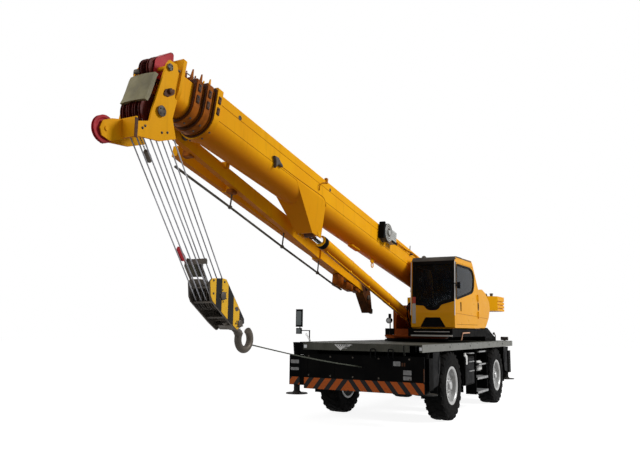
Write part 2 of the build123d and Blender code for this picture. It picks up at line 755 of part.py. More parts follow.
def make_auxiliary_arm():
    """Single-line nose arm bolted to the head, with its sheave's pin."""
    h = head_start
    arm = [(h + 491.9, -655), (h + 640, -716), (h + 745, -790), (h + 762, -880), (h + 720, -950),
           (h + 600, -960), (h + 440.4, -860)]
    plates = both_sides(slab(arm, "y", 27, 41))
    web = slab([(h + 468, -748), (h + 468, -728), (h + 518, -728), (h + 518, -748)], "y", -27, 27)
    reach = base_half_width + 4
    tie = slab([(h + 491.9, -655), (h + 511, -655), (h + 460, -860), (h + 440.4, -860)],
               "y", -reach, reach)
    s, n = aux_sheave
    return joined([plates, web, tie, bar((s, -52, n), (s, 52, n), 25)])


def make_cable_reel():
    """Length-sensor reel and its guard on the left of the base section."""
    y0 = base_half_width
    case = block((3330, 3560), (y0, y0 + 120), (60, 290))
    drum = bar((3740, y0, 170), (3740, y0 + 130, 170), 175)
    return [case, drum]


def strut(start, end, width, depth0, depth1):
    """Tapered box beam between two points, both ends square to the boom."""
    faces = []
    for (s, y, n), depth in ((start, depth0), (end, depth1)):
        plane = Plane(origin=(s, y, n - depth / 2), x_dir=(0, 1, 0), z_dir=(1, 0, 0))
        faces.append(plane * Rectangle(width, depth))
    return loft(faces)


def make_jib():
    """A-frame jib stowed along the right of the base section, with its brackets."""
    out = base_half_width
    f = base_front
    near = strut((5000, -out - 170, -395), (f + 270, -out - 72, -124), 90, 280, 150)
    far = strut((5000, -out - 190, -395), (f - 345, -out - 460, -124), 90, 280, 150)
    beam = strut((3160, -out - 180, -600), (5010, -out - 180, -394), 180, 230, 290)
    tip = slab([(2700, -1110), (2820, -1180), (3190, -860), (3170, -610), (3020, -620),
                (2850, -760)], "y", -out - 265, -out - 95)
    tie = block((f - 1420, f - 1360), (-out - 400, -out - 70), (-400, -300))
    parts = [near, far, beam, tip, tie]
    for s, low, far_y in ((5300, -400, 130), (f - 920, -250, 90)):
        parts.append(block((s - 40, s + 40), (-out - 12, -out), (low, 60)))
        parts.append(block((s - 40, s + 40), (-out - far_y, -out), (low, low + 80)))
    return joined(parts)


# ---------------------------------------------------------------- lift cylinder
def lift_pin_place():
    """Rod eye's place in crane axes."""
    c, s = math.cos(math.radians(boom_angle)), math.sin(math.radians(boom_angle))
    return (foot_x + lift_pin_s * c - lift_pin_n * s, foot_z + lift_pin_s * s + lift_pin_n * c)


def along_lift(shape):
    """Carry a piece from the cylinder's own line to the crane."""
    px, pz = lift_pin_place()
    angle = math.degrees(math.atan2(pz - lift_foot_z, px - lift_foot_x))
    return Pos(lift_foot_x, 0, lift_foot_z) * Rot(0, -angle, 0) * shape


def lift_length():
    """Pin to pin length at the travel angle."""
    px, pz = lift_pin_place()
    return math.hypot(px - lift_foot_x, pz - lift_foot_z)


def make_lift_barrel():
    """Barrel with its foot eye and gland."""
    end = lift_length() - 430
    eye = bar((0, -100, 0), (0, 100, 0), 100)
    neck = bar((60, 0, 0), (200, 0, 0), 80)
    body = bar((190, 0, 0), (end, 0, 0), barrel_radius)
    gland = bar((end, 0, 0), (end + 90, 0, 0), barrel_radius - 8)
    bore = bar((300, 0, 0), (end + 120, 0, 0), rod_radius + run_gap)
    shape = joined([eye, neck, body, gland]) - bore
    return along_lift(shape - bar((0, -120, 0), (0, 120, 0), 50.1))


def make_lift_rod():
    """Piston rod with its eye, which sits between the bracket's pin stubs."""
    length = lift_length()
    rod = bar((560, 0, 0), (length - 50, 0, 0), rod_radius)
    eye = bar((length, -90, 0), (length, 90, 0), 76)
    return along_lift(joined([rod, eye]))


# ---------------------------------------------------------------- hook
fall_lean = 35.7
fall_length = 2100


def hang_point():
    """Head sheave axle in crane axes."""
    c, s = math.cos(math.radians(boom_angle)), math.sin(math.radians(boom_angle))
    return (foot_x + head_sheave_s * c - head_sheave_n * s,
            foot_z + head_sheave_s * s + head_sheave_n * c)


def to_hook(shape):
    """Carry a piece from hook axes (Z up the falls, origin at the head axle) to the crane."""
    x, z = hang_point()
    return Pos(x, 0, z) * Rot(0, fall_lean, 0) * shape


block_taper = 0.9
block_axle = (60, -2345)
block_sheave = 172
trunnion = (-44, -2829)
hook_lean = 60


def make_rope_falls():
    """Eight parts of rope between the head sheaves and the block."""
    ropes = []
    upper = sheave_radius - 26 + 8 + run_gap
    lower = block_sheave - 26 + 8 + run_gap
    for y in rope_ys:
        for edge in (-1, 1):
            start = (edge * upper, y, 0)
            stop = (block_axle[0] + edge * lower, y * block_taper, block_axle[1])
            ropes.append(bar(start, stop, 8))
    return [to_hook(rope) for rope in ropes]


def to_shank(shape):
    """Carry a piece from the hook's own axes (origin at the trunnion) to the crane."""
    x, z = hang_point()
    lean = math.radians(fall_lean)
    tx, tz = trunnion
    px = x + tx * math.cos(lean) + tz * math.sin(lean)
    pz = z - tx * math.sin(lean) + tz * math.cos(lean)
    return Pos(px, 0, pz) * Rot(0, hook_lean, 0) * shape


def make_hook_block():
    """Block: two cheeks, sheaves between them, a rope guard above and the trunnion below."""
    outline = [(-116, -2216), (-60, -2170), (120, -2060), (178, -2066), (262, -2215), (269, -2290),
               (124, -2690), (60, -2835), (40, -2872), (-130, -2884), (-160, -2840), (-150, -2700)]
    cheeks = both_sides(slab(outline, "y", 148, 170))
    ax, az = block_axle
    axle = bar((ax, -166, az), (ax, 166, az), 40)
    guard = slab([(-150, -1975), (80, -1800), (125, -1850), (136, -2050), (112, -2050),
                  (101, -1864), (78, -1826), (-120, -1975)], "y", -166, -150)
    guard += slab([(-150, -1975), (-126, -1975), (-92, -2230), (-116, -2216)], "y", -166, -150)
    guard += slab([(80, -1800), (125, -1850), (101, -1864), (78, -1826)], "y", -166, 166)
    guard += slab([(112, -2100), (112, -1862), (125, -1850), (136, -1862), (136, -2100)], "y", -166, -150)
    wheels = [grooved_wheel(ax, az, y * block_taper, block_sheave, 40 + run_gap) for y in rope_ys]
    cross = block((-58, 58), (-148, 148), (-52, 52))
    cross -= bar((0, 0, -60), (0, 0, 60), 34 + run_gap)
    body = joined([to_hook(joined([cheeks, axle, guard])), to_shank(cross)])
    return [body] + [to_hook(wheel) for wheel in wheels]


def make_hook():
    """Forged hook on its shank, with its nut above the trunnion."""
    shank = bar((0, 0, 98), (0, 0, -235), 34)
    nut = bar((0, 0, 52 + run_gap), (0, 0, 98), 56)
    collar = Pos(0, 0, -52 - run_gap) * Cylinder(50, 26, align=(Align.CENTER, Align.CENTER, Align.MAX))
    centre = -400
    ring = Pos(0, 0, centre) * Rot(90, 0, 0) * Torus(135, 48)
    mouth = slab([(0, centre), (-330, centre - 20), (-330, centre + 260), (-52, centre + 260)],
                 "y", -70, 70)
    neck = Pos(0, 0, -215) * Cone(58, 36, 70)
    return to_shank(joined([shank, nut, collar, ring - mouth, neck]))


# ---------------------------------------------------------------- mirror and lamps
def make_front_mirror():
    """Kerb mirrors on a bent stalk at the front right corner."""
    x = deck_front - 170
    top = deck_top
    post = bar((x, -980, top), (x, -980, top + 219), 11)
    foot = block((x - 40, x + 40), (-1010, -930), (top, top + 8))
    arm = block((x - 8, x + 8), (-1198, -970), (top + 205, top + 221))
    upright = block((x - 8, x + 8), (-1198, -1182), (top + 179, top + 569))
    tall = block((x + 6, x + 46), (-1255, -1125), (top + 279, top + 609))
    small = block((x + 6, x + 40), (-1250, -1140), (top + 149, top + 259))
    return joined([post, foot, arm, upright, tall, small])


def make_carrier_lamps():
    """Small lamps on the deck's front corners and tail lamps on the rear apron."""
    lamp_top = deck_top - 43
    lamps = [block((deck_front, deck_front + 14), (1244, 1282), (lamp_top - 56, lamp_top)),
             block((deck_front, deck_front + 14), (-990, -930), (lamp_top - 56, lamp_top))]
    for side in (-1, 1):
        lamps.append(block((carrier_rear - 18, carrier_rear), (side * 620, side * 860), (880, 960)))
    return lamps


# ---------------------------------------------------------------- the model
nodes["carrier_frame"] = make_carrier_frame()
nodes["slewing_ring"] = make_slewing_ring()
nodes["front_outrigger_box"] = make_outrigger_box(1)
nodes["rear_outrigger_box"] = make_outrigger_box(-1)
nodes["deck"] = make_deck()
nodes["fenders"] = make_fenders()
nodes["side_steps"] = make_side_steps()
nodes["side_tanks"] = make_side_tanks()
nodes["driveline"] = make_driveline()
nodes["engine"] = make_engine()
nodes["engine_hood"] = make_engine_hood()
nodes["front_mirror"] = make_front_mirror()
nodes["carrier_lamps"] = make_carrier_lamps()
for where, axle_x in axle_xs.items():
    nodes["axle_" + where] = make_axle(axle_x)
    for hand, side in sides.items():
        key = where + "_" + hand
        nodes["knuckle_" + key] = make_knuckle(axle_x, side)
        nodes["tyre_" + key] = make_tyre(axle_x, side)
        nodes["rim_" + key] = make_rim(axle_x, side)
for key, (end, side, lane, reach, low) in outriggers.items():
    nodes["outrigger_beam_" + key] = make_outrigger_beam(end, side, lane, reach)
    nodes["jack_" + key] = make_jack(end, side, lane, reach, low)

lower_names = list(nodes)
nodes["turret"] = make_turret()
nodes["turntable_deck"] = make_turntable_deck()
nodes["counterweight"] = make_counterweight()
nodes["winches"] = make_winches()
nodes["cab_shell"] = make_cab_shell()
nodes["cab_glass"] = make_cab_glass()
nodes["cab_door"] = make_cab_door()
nodes["door_glass"] = make_door_glass()
nodes["operator_seat"] = make_operator_seat()
nodes["rear_housing"] = make_rear_housing()
nodes["right_housing"] = make_right_housing()

nodes["boom_base"] = to_crane(make_boom_base())
for k in (1, 2):
    section = make_section(k) + make_collar(k, collar_start(k))
    nodes["boom_section_%d" % (k + 1)] = to_crane(section)
nodes["boom_section_4"] = to_crane(make_boom_head())
nodes["head_sheaves"] = [to_crane(wheel) for wheel in make_head_sheaves()]
nodes["auxiliary_arm"] = to_crane(make_auxiliary_arm())
nodes["cable_reel"] = [to_crane(piece) for piece in make_cable_reel()]
nodes["jib"] = to_crane(make_jib())
nodes["lift_barrel"] = make_lift_barrel()
nodes["lift_rod"] = make_lift_rod()
nodes["rope_falls"] = make_rope_falls()
nodes["hook_block"] = make_hook_block()
nodes["hook"] = make_hook()

os.makedirs("parts", exist_ok=True)
for name, shape in nodes.items():
    if isinstance(shape, list):
        shape = Compound(children=[piece for group in shape for piece in group.solids()])
    if name not in lower_names:
        shape = Pos(0, 0, ring_top - upper_ring) * shape
    export_step(shape, "parts/" + name + ".step")
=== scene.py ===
from math import atan2, copysign, cos, degrees, pi, radians, sin

import bpy
import bmesh
import numpy as np
from mathutils import Matrix, Vector


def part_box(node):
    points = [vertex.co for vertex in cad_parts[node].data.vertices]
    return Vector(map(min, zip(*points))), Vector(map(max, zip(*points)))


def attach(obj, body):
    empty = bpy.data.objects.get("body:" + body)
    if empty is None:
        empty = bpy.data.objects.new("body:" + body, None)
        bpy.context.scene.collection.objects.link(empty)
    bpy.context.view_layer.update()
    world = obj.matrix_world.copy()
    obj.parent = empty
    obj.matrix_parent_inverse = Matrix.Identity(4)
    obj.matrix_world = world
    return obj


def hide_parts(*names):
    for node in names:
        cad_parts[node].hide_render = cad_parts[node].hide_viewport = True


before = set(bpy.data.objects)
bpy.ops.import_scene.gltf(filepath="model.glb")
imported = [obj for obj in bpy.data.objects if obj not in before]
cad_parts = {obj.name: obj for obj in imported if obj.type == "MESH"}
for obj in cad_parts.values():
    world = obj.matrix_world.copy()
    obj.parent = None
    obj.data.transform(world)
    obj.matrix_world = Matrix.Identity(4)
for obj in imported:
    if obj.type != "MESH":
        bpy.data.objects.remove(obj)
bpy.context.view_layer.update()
print("frame loaded:", len(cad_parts), "nodes")

# camera: place, heading and lift of its axis, lens for a 36 mm wide film
cameraLook = {"place": (13.7866, 5.0082, 1.665), "heading": 0.5033, "lift": 0.16,
              "roll": 0.0114, "lens": 35.895}


def addObject(name, data):
    thing = bpy.data.objects.new(name, data)
    bpy.context.scene.collection.objects.link(thing)
    return thing


def makeCamera(look):
    # right, up and forward axes from heading, lift and roll
    flat = Vector((-cos(look["heading"]), -sin(look["heading"]), 0))
    right = flat.cross(Vector((0, 0, 1)))
    forward = cos(look["lift"]) * flat + Vector((0, 0, sin(look["lift"])))
    up = right.cross(forward)
    c, s = cos(look["roll"]), sin(look["roll"])
    right, up = c * right + s * up, c * up - s * right
    camera = addObject("camera", bpy.data.cameras.new("camera"))
    camera.data.lens = look["lens"]
    camera.data.sensor_width = 36
    camera.data.clip_end = 200
    turn = Matrix((right, up, -forward)).transposed().to_4x4()
    camera.matrix_world = Matrix.Translation(look["place"]) @ turn
    bpy.context.scene.camera = camera


makeCamera(cameraLook)
bpy.context.scene.view_settings.view_transform = "Standard"
print("camera placed")

# boom axes: s along the boom from its foot pin, n square to it and upwards
boomFoot = (-1.0, 2.645)
boomAngle = radians(10.4)


def onBoom(s, y, n):
    c, k = cos(boomAngle), sin(boomAngle)
    s, y, n = np.broadcast_arrays(np.asarray(s, float), y, n)
    return np.stack([boomFoot[0] + s * c - n * k, y + 0 * s, boomFoot[1] + s * k + n * c], -1)


# ---- meshes: every piece is one or more grids of points, rows along the first index

def gridFaces(rows, cols, wrapCols, start):
    # quads between neighbouring rows and columns; the last column joins the first if wrapped
    count = cols if wrapCols else cols - 1
    r, c = np.meshgrid(np.arange(rows - 1), np.arange(count), indexing="ij")
    nextCol = (c + 1) % cols
    quads = np.stack([r * cols + c, r * cols + nextCol, (r + 1) * cols + nextCol, (r + 1) * cols + c], -1)
    return quads.reshape(-1, 4) + start


def makePiece(name, grids, look, body, sharp=32, wrap=True):
    # grids joined into one mesh, doubles merged so that poles close, normals turned outwards
    points, quads, start = [], [], 0
    for grid in grids:
        grid = np.asarray(grid, float)
        rows, cols = grid.shape[:2]
        points.append(grid.reshape(-1, 3))
        quads.append(gridFaces(rows, cols, wrap, start))
        start += rows * cols
    points, quads = np.concatenate(points), np.concatenate(quads)
    mesh = bpy.data.meshes.new(name)
    mesh.vertices.add(len(points))
    mesh.vertices.foreach_set("co", points.ravel())
    mesh.loops.add(quads.size)
    mesh.loops.foreach_set("vertex_index", quads.ravel().astype(np.int32))
    mesh.polygons.add(len(quads))
    mesh.polygons.foreach_set("loop_start", np.arange(0, quads.size, 4, dtype=np.int32))
    mesh.update(calc_edges=True)
    work = bmesh.new()
    work.from_mesh(mesh)
    bmesh.ops.remove_doubles(work, verts=work.verts, dist=1e-6)
    bmesh.ops.dissolve_degenerate(work, edges=work.edges, dist=1e-7)
    bmesh.ops.recalc_face_normals(work, faces=work.faces)
    work.to_mesh(mesh)
    work.free()
    mesh.polygons.foreach_set("use_smooth", np.ones(len(mesh.polygons), bool))
    mesh.set_sharp_from_angle(angle=radians(sharp))
    mesh.materials.append(finish[look])
    piece = addObject(name, mesh)
    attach(piece, body)
    return piece


def blockGrid(size, bevel):
    # box with chamfered edges: an eight-cornered outline carried up through six levels,
    # drawn in by the bevel at both ends and closed at two poles
    w, d, h = (value / 2 for value in size)
    b = min(bevel, 0.9 * min(w, d, h))
    rim = np.array([[w, b - d], [w, d - b], [w - b, d], [b - w, d], [-w, d - b], [-w, b - d],
                    [b - w, -d], [w - b, -d]])
    inset = rim * [[(w - b) / w, (d - b) / d]]
    levels = [(inset * 0, -h), (inset, -h), (rim, b - h), (rim, h - b), (inset, h), (inset * 0, h)]
    return np.stack([np.column_stack([xy, np.full(8, z)]) for xy, z in levels])


def placed(grid, centre, turn=(0, 0, 0)):
    # grid turned by angles in degrees about X, Y, Z and moved to its centre
    a, b, c = (radians(v) for v in turn)
    turnX = np.array([[1, 0, 0], [0, cos(a), -sin(a)], [0, sin(a), cos(a)]])
    turnY = np.array([[cos(b), 0, sin(b)], [0, 1, 0], [-sin(b), 0, cos(b)]])
    turnZ = np.array([[cos(c), -sin(c), 0], [sin(c), cos(c), 0], [0, 0, 1]])
    return np.asarray(grid) @ (turnZ @ turnY @ turnX).T + np.asarray(centre)


def boomBlock(size, bevel, s, y, n):
    # chamfered box lying square to the boom
    return placed(blockGrid(size, bevel), onBoom(s, y, n), (0, -10.4, 0))


def tubeGrid(path, radius, sides=10, ends=True):
    # circle of the given radius carried along a path, its ends drawn in to poles
    path = np.asarray(path, float)
    radius = np.broadcast_to(np.asarray(radius, float), len(path)).copy()
    if ends:
        path = np.concatenate([path[:1], path, path[-1:]])
        radius = np.concatenate([[0], radius, [0]])
    step = np.gradient(path, axis=0)
    step[0], step[-1] = step[1], step[-2]
    if ends:
        step[1], step[-2] = path[2] - path[1], path[-2] - path[-3]
        step[0], step[-1] = step[1], step[-2]
    step /= np.linalg.norm(step, axis=1, keepdims=True)
    side = np.zeros_like(path)
    side[0] = np.cross(step[0], [0.13, 0.29, 0.95])
    side[0] /= np.linalg.norm(side[0])
    for i in range(1, len(path)):
        side[i] = side[i - 1] - step[i] * (side[i - 1] @ step[i])
        side[i] /= np.linalg.norm(side[i])
    other = np.cross(step, side)
    angle = turns(sides)
    ring = np.cos(angle)[None, :, None] * side[:, None] + np.sin(angle)[None, :, None] * other[:, None]
    return path[:, None] + ring * radius[:, None, None]


def roundCorner(before, corner, after, radius, share, steps):
    # quadratic arc between points one radius before and after the corner, at most a share of each run
    a, b = before - corner, after - corner
    a = corner + a / np.linalg.norm(a) * min(radius, np.linalg.norm(a) / share)
    b = corner + b / np.linalg.norm(b) * min(radius, np.linalg.norm(b) / share)
    t = np.linspace(0, 1, steps)[:, None]
    return (1 - t) ** 2 * a + 2 * t * (1 - t) * corner + t ** 2 * b


def bentPath(corners, radius=0.03, steps=5):
    # straight runs with each corner rounded
    corners = np.asarray(corners, float)
    points = [corners[0]]
    for before, corner, after in zip(corners, corners[1:], corners[2:]):
        points.extend(roundCorner(before, corner, after, radius, 2, steps))
    points.append(corners[-1])
    return np.array(points)


def turnedGrid(profile, centre, axis, sides=48):
    # profile of (distance along the axis, radius) swept round the axis
    axis = np.asarray(axis, float) / np.linalg.norm(axis)
    side = np.cross(axis, [0.0, 0.0, 1.0] if abs(axis[2]) < 0.9 else [1.0, 0.0, 0.0])
    side /= np.linalg.norm(side)
    other = np.cross(axis, side)
    angle = turns(sides)
    ring = np.cos(angle)[:, None] * side + np.sin(angle)[:, None] * other
    along, radius = np.asarray(profile, float).T
    return np.asarray(centre) + along[:, None, None] * axis + radius[:, None, None] * ring


def knobGrid(steps, centre, axis, sides):
    # turned profile closed on its axis at both ends; steps are (distance, radius)
    return turnedGrid([(0, 0), *steps, (steps[-1][0], 0)], centre, axis, sides)


def turns(count, start=0.0):
    # angles of count places spread evenly round a circle
    return np.linspace(0, 2 * pi, count, endpoint=False) + start


def ringTurns(steps):
    # the same with the first angle come round again, for closed paths
    return np.linspace(0, 2 * pi, steps + 1)


def onCircle(u, v, radius, angles):
    return [(u + radius * cos(a), v + radius * sin(a)) for a in angles]


def capped(rows):
    # rings of points, closed by a pole at the middle of the first and of the last
    return np.stack([rows[0] * 0 + rows[0].mean(0), *rows, rows[-1] * 0 + rows[-1].mean(0)])


def rodGrid(corners, bend, radius, sides=8):
    # rod along straight runs with rounded corners
    return tubeGrid(bentPath(corners, bend), radius, sides)


def boltGrids(places, axis, radius=0.014, height=0.012):
    # six-sided bolt heads with a washer below each, standing on the given points
    profile = [(0, 0), (0, radius * 1.5), (0.003, radius * 1.5), (0.003, radius), (height * 0.8, radius),
               (height, radius * 0.85), (height, 0)]
    return [turnedGrid(profile, place, axis, 6) for place in places]


# ---- finishes: node materials on Object coordinates

def addNode(tree, kind, inputs=None, **settings):
    node = tree.nodes.new("ShaderNode" + kind)
    for name, value in settings.items():
        setattr(node, name, value)
    for name, value in (inputs or {}).items():
        if isinstance(value, bpy.types.NodeSocket):
            tree.links.new(value, node.inputs[name])
        else:
            node.inputs[name].default_value = value
    return node


def startFinish(name):
    material = bpy.data.materials.new(name)
    material.use_nodes = True
    tree = material.node_tree
    shader = tree.nodes["Principled BSDF"]
    place = addNode(tree, "TexCoord").outputs["Object"]
    return material, tree, shader, place


def blendColours(tree, factor, low, high):
    mix = addNode(tree, "Mix", data_type="RGBA")
    for index, value in ((0, factor), (6, low), (7, high)):
        if isinstance(value, bpy.types.NodeSocket):
            tree.links.new(value, mix.inputs[index])
        else:
            mix.inputs[index].default_value = (*value, 1) if index else value
    return mix.outputs[2]


def math2(tree, operation, a, b=0.0):
    return addNode(tree, "Math", {0: a, 1: b}, operation=operation).outputs[0]


def spread(tree, value, low, high, toLow=0.0, toHigh=1.0):
    return addNode(tree, "MapRange", {"Value": value, "From Min": low, "From Max": high, "To Min": toLow,
                                      "To Max": toHigh}).outputs[0]


def noise(tree, place, scale, detail=3.0):
    return addNode(tree, "TexNoise", {"Vector": place, "Scale": scale, "Detail": detail}).outputs["Fac"]


def finishSurface(tree, shader, place, look, pattern=None):
    # two close colours in patches, painted shade on the faces that look down, roughness that wanders, dust on
    # what looks up, and a fine grain in the bump
    patch = spread(tree, noise(tree, place, look.get("patch", 2.5)), 0.35, 0.65)
    colour = blendColours(tree, patch, look["colour"], look.get("second", look["colour"]))
    if "under" in look:
        # painted shade: the faces that look down are darkened towards the deeper colour
        down = addNode(tree, "SeparateXYZ", {0: addNode(tree, "NewGeometry").outputs["Normal"]}).outputs[2]
        colour = blendColours(tree, spread(tree, down, -0.05, -0.8), colour, look["under"])
    if "streak" in look:
        # long faint runs down the sides: noise stretched along Z
        runs = noise(tree, addNode(tree, "Mapping", {"Vector": place, "Scale": (9.0, 9.0, 0.7)}).outputs[0],
                     1.6, 5)
        colour = blendColours(tree, math2(tree, "MULTIPLY", spread(tree, runs, 0.55, 0.8), look["streak"]),
                              colour, tuple(0.6 * v for v in look["second"]))
    if "dust" in look:
        facing = addNode(tree, "SeparateXYZ", {0: addNode(tree, "NewGeometry").outputs["Normal"]}).outputs[2]
        settled = math2(tree, "MULTIPLY", spread(tree, facing, 0.3, 1.0),
                        spread(tree, noise(tree, place, 6, 5), 0.3, 0.7, 0.2, 1))
        colour = blendColours(tree, math2(tree, "MULTIPLY", settled, look["dust"][0]), colour, look["dust"][1])
    tree.links.new(colour, shader.inputs["Base Color"])
    low, high = look["rough"]
    tree.links.new(spread(tree, noise(tree, place, look.get("patch", 2.5) * 3, 4), 0.3, 0.7, low, high),
                   shader.inputs["Roughness"])
    shader.inputs["Metallic"].default_value = look.get("metal", 0.0)
    shader.inputs["IOR"].default_value = look.get("ior", 1.25)
    shader.inputs["Specular IOR Level"].default_value = look.get("shine", 0.3)
    shader.inputs["Coat Weight"].default_value = look.get("coat", 0.0)
    shader.inputs["Coat Roughness"].default_value = 0.12
    grain = noise(tree, place, look.get("grain", 90), 2)
    bump = addNode(tree, "Bump", {"Height": grain, "Strength": look.get("grainDepth", 0.12), "Distance": 0.002})
    if pattern is not None:
        bump = addNode(tree, "Bump", {"Height": pattern, "Normal": bump.outputs[0], "Strength": 0.9,
                                      "Distance": look.get("relief", 0.003)})
    tree.links.new(bump.outputs[0], shader.inputs["Normal"])


def paint(colour, second, rough, **more):
    return {"colour": colour, "second": second, "rough": rough, **more}


def plainFinish(name, look):
    material, tree, shader, place = startFinish(name)
    finishSurface(tree, shader, place, look)
    return material


finishLooks = {
    # in craneYellow and cabYellow the deeper colour for the faces that look down is painted shade
    "craneYellow": paint((0.84, 0.39, 0.006), (0.8, 0.35, 0.006), (0.34, 0.48), shine=0.07,
                         under=(0.56, 0.165, 0.005), patch=1.6, grain=60, streak=0.35),
    # shadeYellow is crane yellow as it looks in shade: a painted shade for the weld lines, the bracket edge,
    # the side hook and the cab's creases
    "shadeYellow": paint((0.42, 0.15, 0.006), (0.34, 0.11, 0.005), (0.35, 0.5),
                         shine=0.06, patch=3.0, grain=90),
    # turret and right housing: crane yellow drawn dark red-brown as it looks in shade, a painted shade
    "turretPaintedShade": paint((0.3, 0.062, 0.008), (0.2, 0.036, 0.006), (0.3, 0.45), shine=0.06,
                       patch=2.0, grain=70, streak=0.3),
    "rodGrey": paint((0.1, 0.09, 0.07), (0.06, 0.05, 0.04), (0.4, 0.6), patch=6.0, grain=60),
    "headRed": paint((0.12, 0.018, 0.012), (0.06, 0.012, 0.009), (0.4, 0.6), patch=8.0, grain=90),
    "innerBrown": paint((0.36, 0.1, 0.01), (0.16, 0.045, 0.008), (0.4, 0.6), patch=7.0, grain=70,
                        grainDepth=0.3, shine=0.06),
    "padBrown": paint((0.1, 0.035, 0.012), (0.05, 0.022, 0.012), (0.45, 0.7), patch=6.0,
                      grain=60, grainDepth=0.3),
    "cabYellow": paint((0.77, 0.345, 0.006), (0.74, 0.325, 0.006), (0.26, 0.38), shine=0.1, coat=0.02,
                       under=(0.62, 0.22, 0.005), patch=2.0, grain=50),
    "carrierBlack": paint((0.003, 0.003, 0.0032), (0.006, 0.0058, 0.0055), (0.45, 0.65), shine=0.03, grain=120,
                          dust=(0.2, (0.09, 0.085, 0.075))),
    "axleBlack": paint((0.007, 0.007, 0.007), (0.016, 0.015, 0.014), (0.5, 0.75), grain=45, grainDepth=0.4,
                       dust=(0.4, (0.15, 0.13, 0.11))),
    "rimSilver": paint((0.5, 0.5, 0.5), (0.42, 0.42, 0.41), (0.3, 0.5), metal=0.35, grain=110),
    "bareSteel": paint((0.42, 0.42, 0.42), (0.3, 0.29, 0.28), (0.3, 0.5), metal=0.9, grain=140),
    "chromeRod": paint((0.82, 0.82, 0.83), (0.78, 0.78, 0.8), (0.06, 0.12), metal=1.0,
                       grain=200, grainDepth=0.02),
    "sheaveRed": paint((0.46, 0.03, 0.04), (0.34, 0.022, 0.03), (0.3, 0.5), shine=0.2, grain=90),
    "wornDark": paint((0.05, 0.045, 0.04), (0.1, 0.085, 0.07), (0.4, 0.7), metal=0.5, grain=70, grainDepth=0.3),
    "blackTrim": paint((0.004, 0.004, 0.0045), (0.008, 0.008, 0.0085), (0.4, 0.6), shine=0.06,
                       grain=300, grainDepth=0.2),
    "seatCloth": paint((0.03, 0.03, 0.033), (0.05, 0.048, 0.046), (0.75, 0.95), patch=14,
                       grain=420, grainDepth=0.6),
    "roofDark": paint((0.035, 0.03, 0.026), (0.06, 0.05, 0.04), (0.4, 0.6), grain=120),
    "shieldGrey": paint((0.26, 0.23, 0.13), (0.17, 0.15, 0.09), (0.4, 0.6), patch=6.0,
                        grain=80, grainDepth=0.3),
    "guardOlive": paint((0.055, 0.05, 0.03), (0.03, 0.028, 0.018), (0.45, 0.65), patch=10.0, grain=120),
    "markerRed": paint((0.5, 0.09, 0.07), (0.38, 0.06, 0.05), (0.25, 0.4), grain=200),
    "railPale": paint((0.75, 0.42, 0.28), (0.6, 0.3, 0.18), (0.3, 0.5), grain=120),
    "plateGrey": paint((0.3, 0.3, 0.3), (0.2, 0.2, 0.2), (0.35, 0.5), patch=20.0, grain=120),
    "treadSteel": paint((0.36, 0.36, 0.36), (0.22, 0.22, 0.22), (0.35, 0.55), metal=0.3, patch=9.0, grain=120),
    "slingGrey": paint((0.09, 0.095, 0.075), (0.05, 0.055, 0.045), (0.6, 0.8), patch=30.0,
                       grain=300, grainDepth=0.5),
    "darkMirror": paint((0.1, 0.11, 0.11), (0.07, 0.08, 0.08), (0.03, 0.08), metal=0.9,
                        grain=60, grainDepth=0.02),
    "lightGrey": paint((0.5, 0.5, 0.48), (0.42, 0.42, 0.4), (0.35, 0.55), grain=90),
    "whitePlate": paint((0.78, 0.78, 0.76), (0.7, 0.7, 0.68), (0.3, 0.45), grain=90),
    "redLens": paint((0.6, 0.02, 0.02), (0.5, 0.015, 0.015), (0.08, 0.16), coat=0.6, grain=220, grainDepth=0.4),
    # rubber with a fine grain and a little dust
    "tyreRubber": paint((0.006, 0.006, 0.0062), (0.012, 0.0115, 0.011), (0.6, 0.85),
                        shine=0.06, patch=5, grain=160, grainDepth=0.35, dust=(0.15, (0.1, 0.09, 0.08))),
    "clearLens": paint((0.75, 0.77, 0.78), (0.6, 0.62, 0.64), (0.06, 0.14), coat=0.8,
                       grain=160, grainDepth=0.4),
}
finish = {name: plainFinish(name, look) for name, look in finishLooks.items()}


def deckFinish():
    # chequer plate: short raised lozenges, turned a quarter from one to the next
    look = paint((0.085, 0.085, 0.07), (0.045, 0.045, 0.036), (0.45, 0.7), patch=2.2, grain=160, relief=0.004,
                 pitch=0.045, side=(0.2, 0.2, 0.185))
    material, tree, shader, place = startFinish("deckPlate")
    x, y, z = addNode(tree, "SeparateXYZ", {0: place}).outputs
    waves = []
    for a, b in ((1.0, 1.0), (1.0, -1.0)):
        along = math2(tree, "ADD", math2(tree, "MULTIPLY", x, a), math2(tree, "MULTIPLY", y, b))
        waves.append(math2(tree, "SINE", math2(tree, "MULTIPLY", along, pi / look["pitch"])))
    lozenge = math2(tree, "MULTIPLY", waves[0], waves[1])
    finishSurface(tree, shader, place, look, spread(tree, math2(tree, "ABSOLUTE", lozenge), 0.35, 0.7))
    # paler where the skirt faces +Y, the side towards the key light; the side facing -Y keeps the plate colour
    side = addNode(tree, "SeparateXYZ", {0: addNode(tree, "NewGeometry").outputs["Normal"]}).outputs[1]
    painted = shader.inputs["Base Color"].links[0].from_socket
    tree.links.new(blendColours(tree, spread(tree, side, 0.6, 0.9), painted, look["side"]),
                   shader.inputs["Base Color"])
    return material


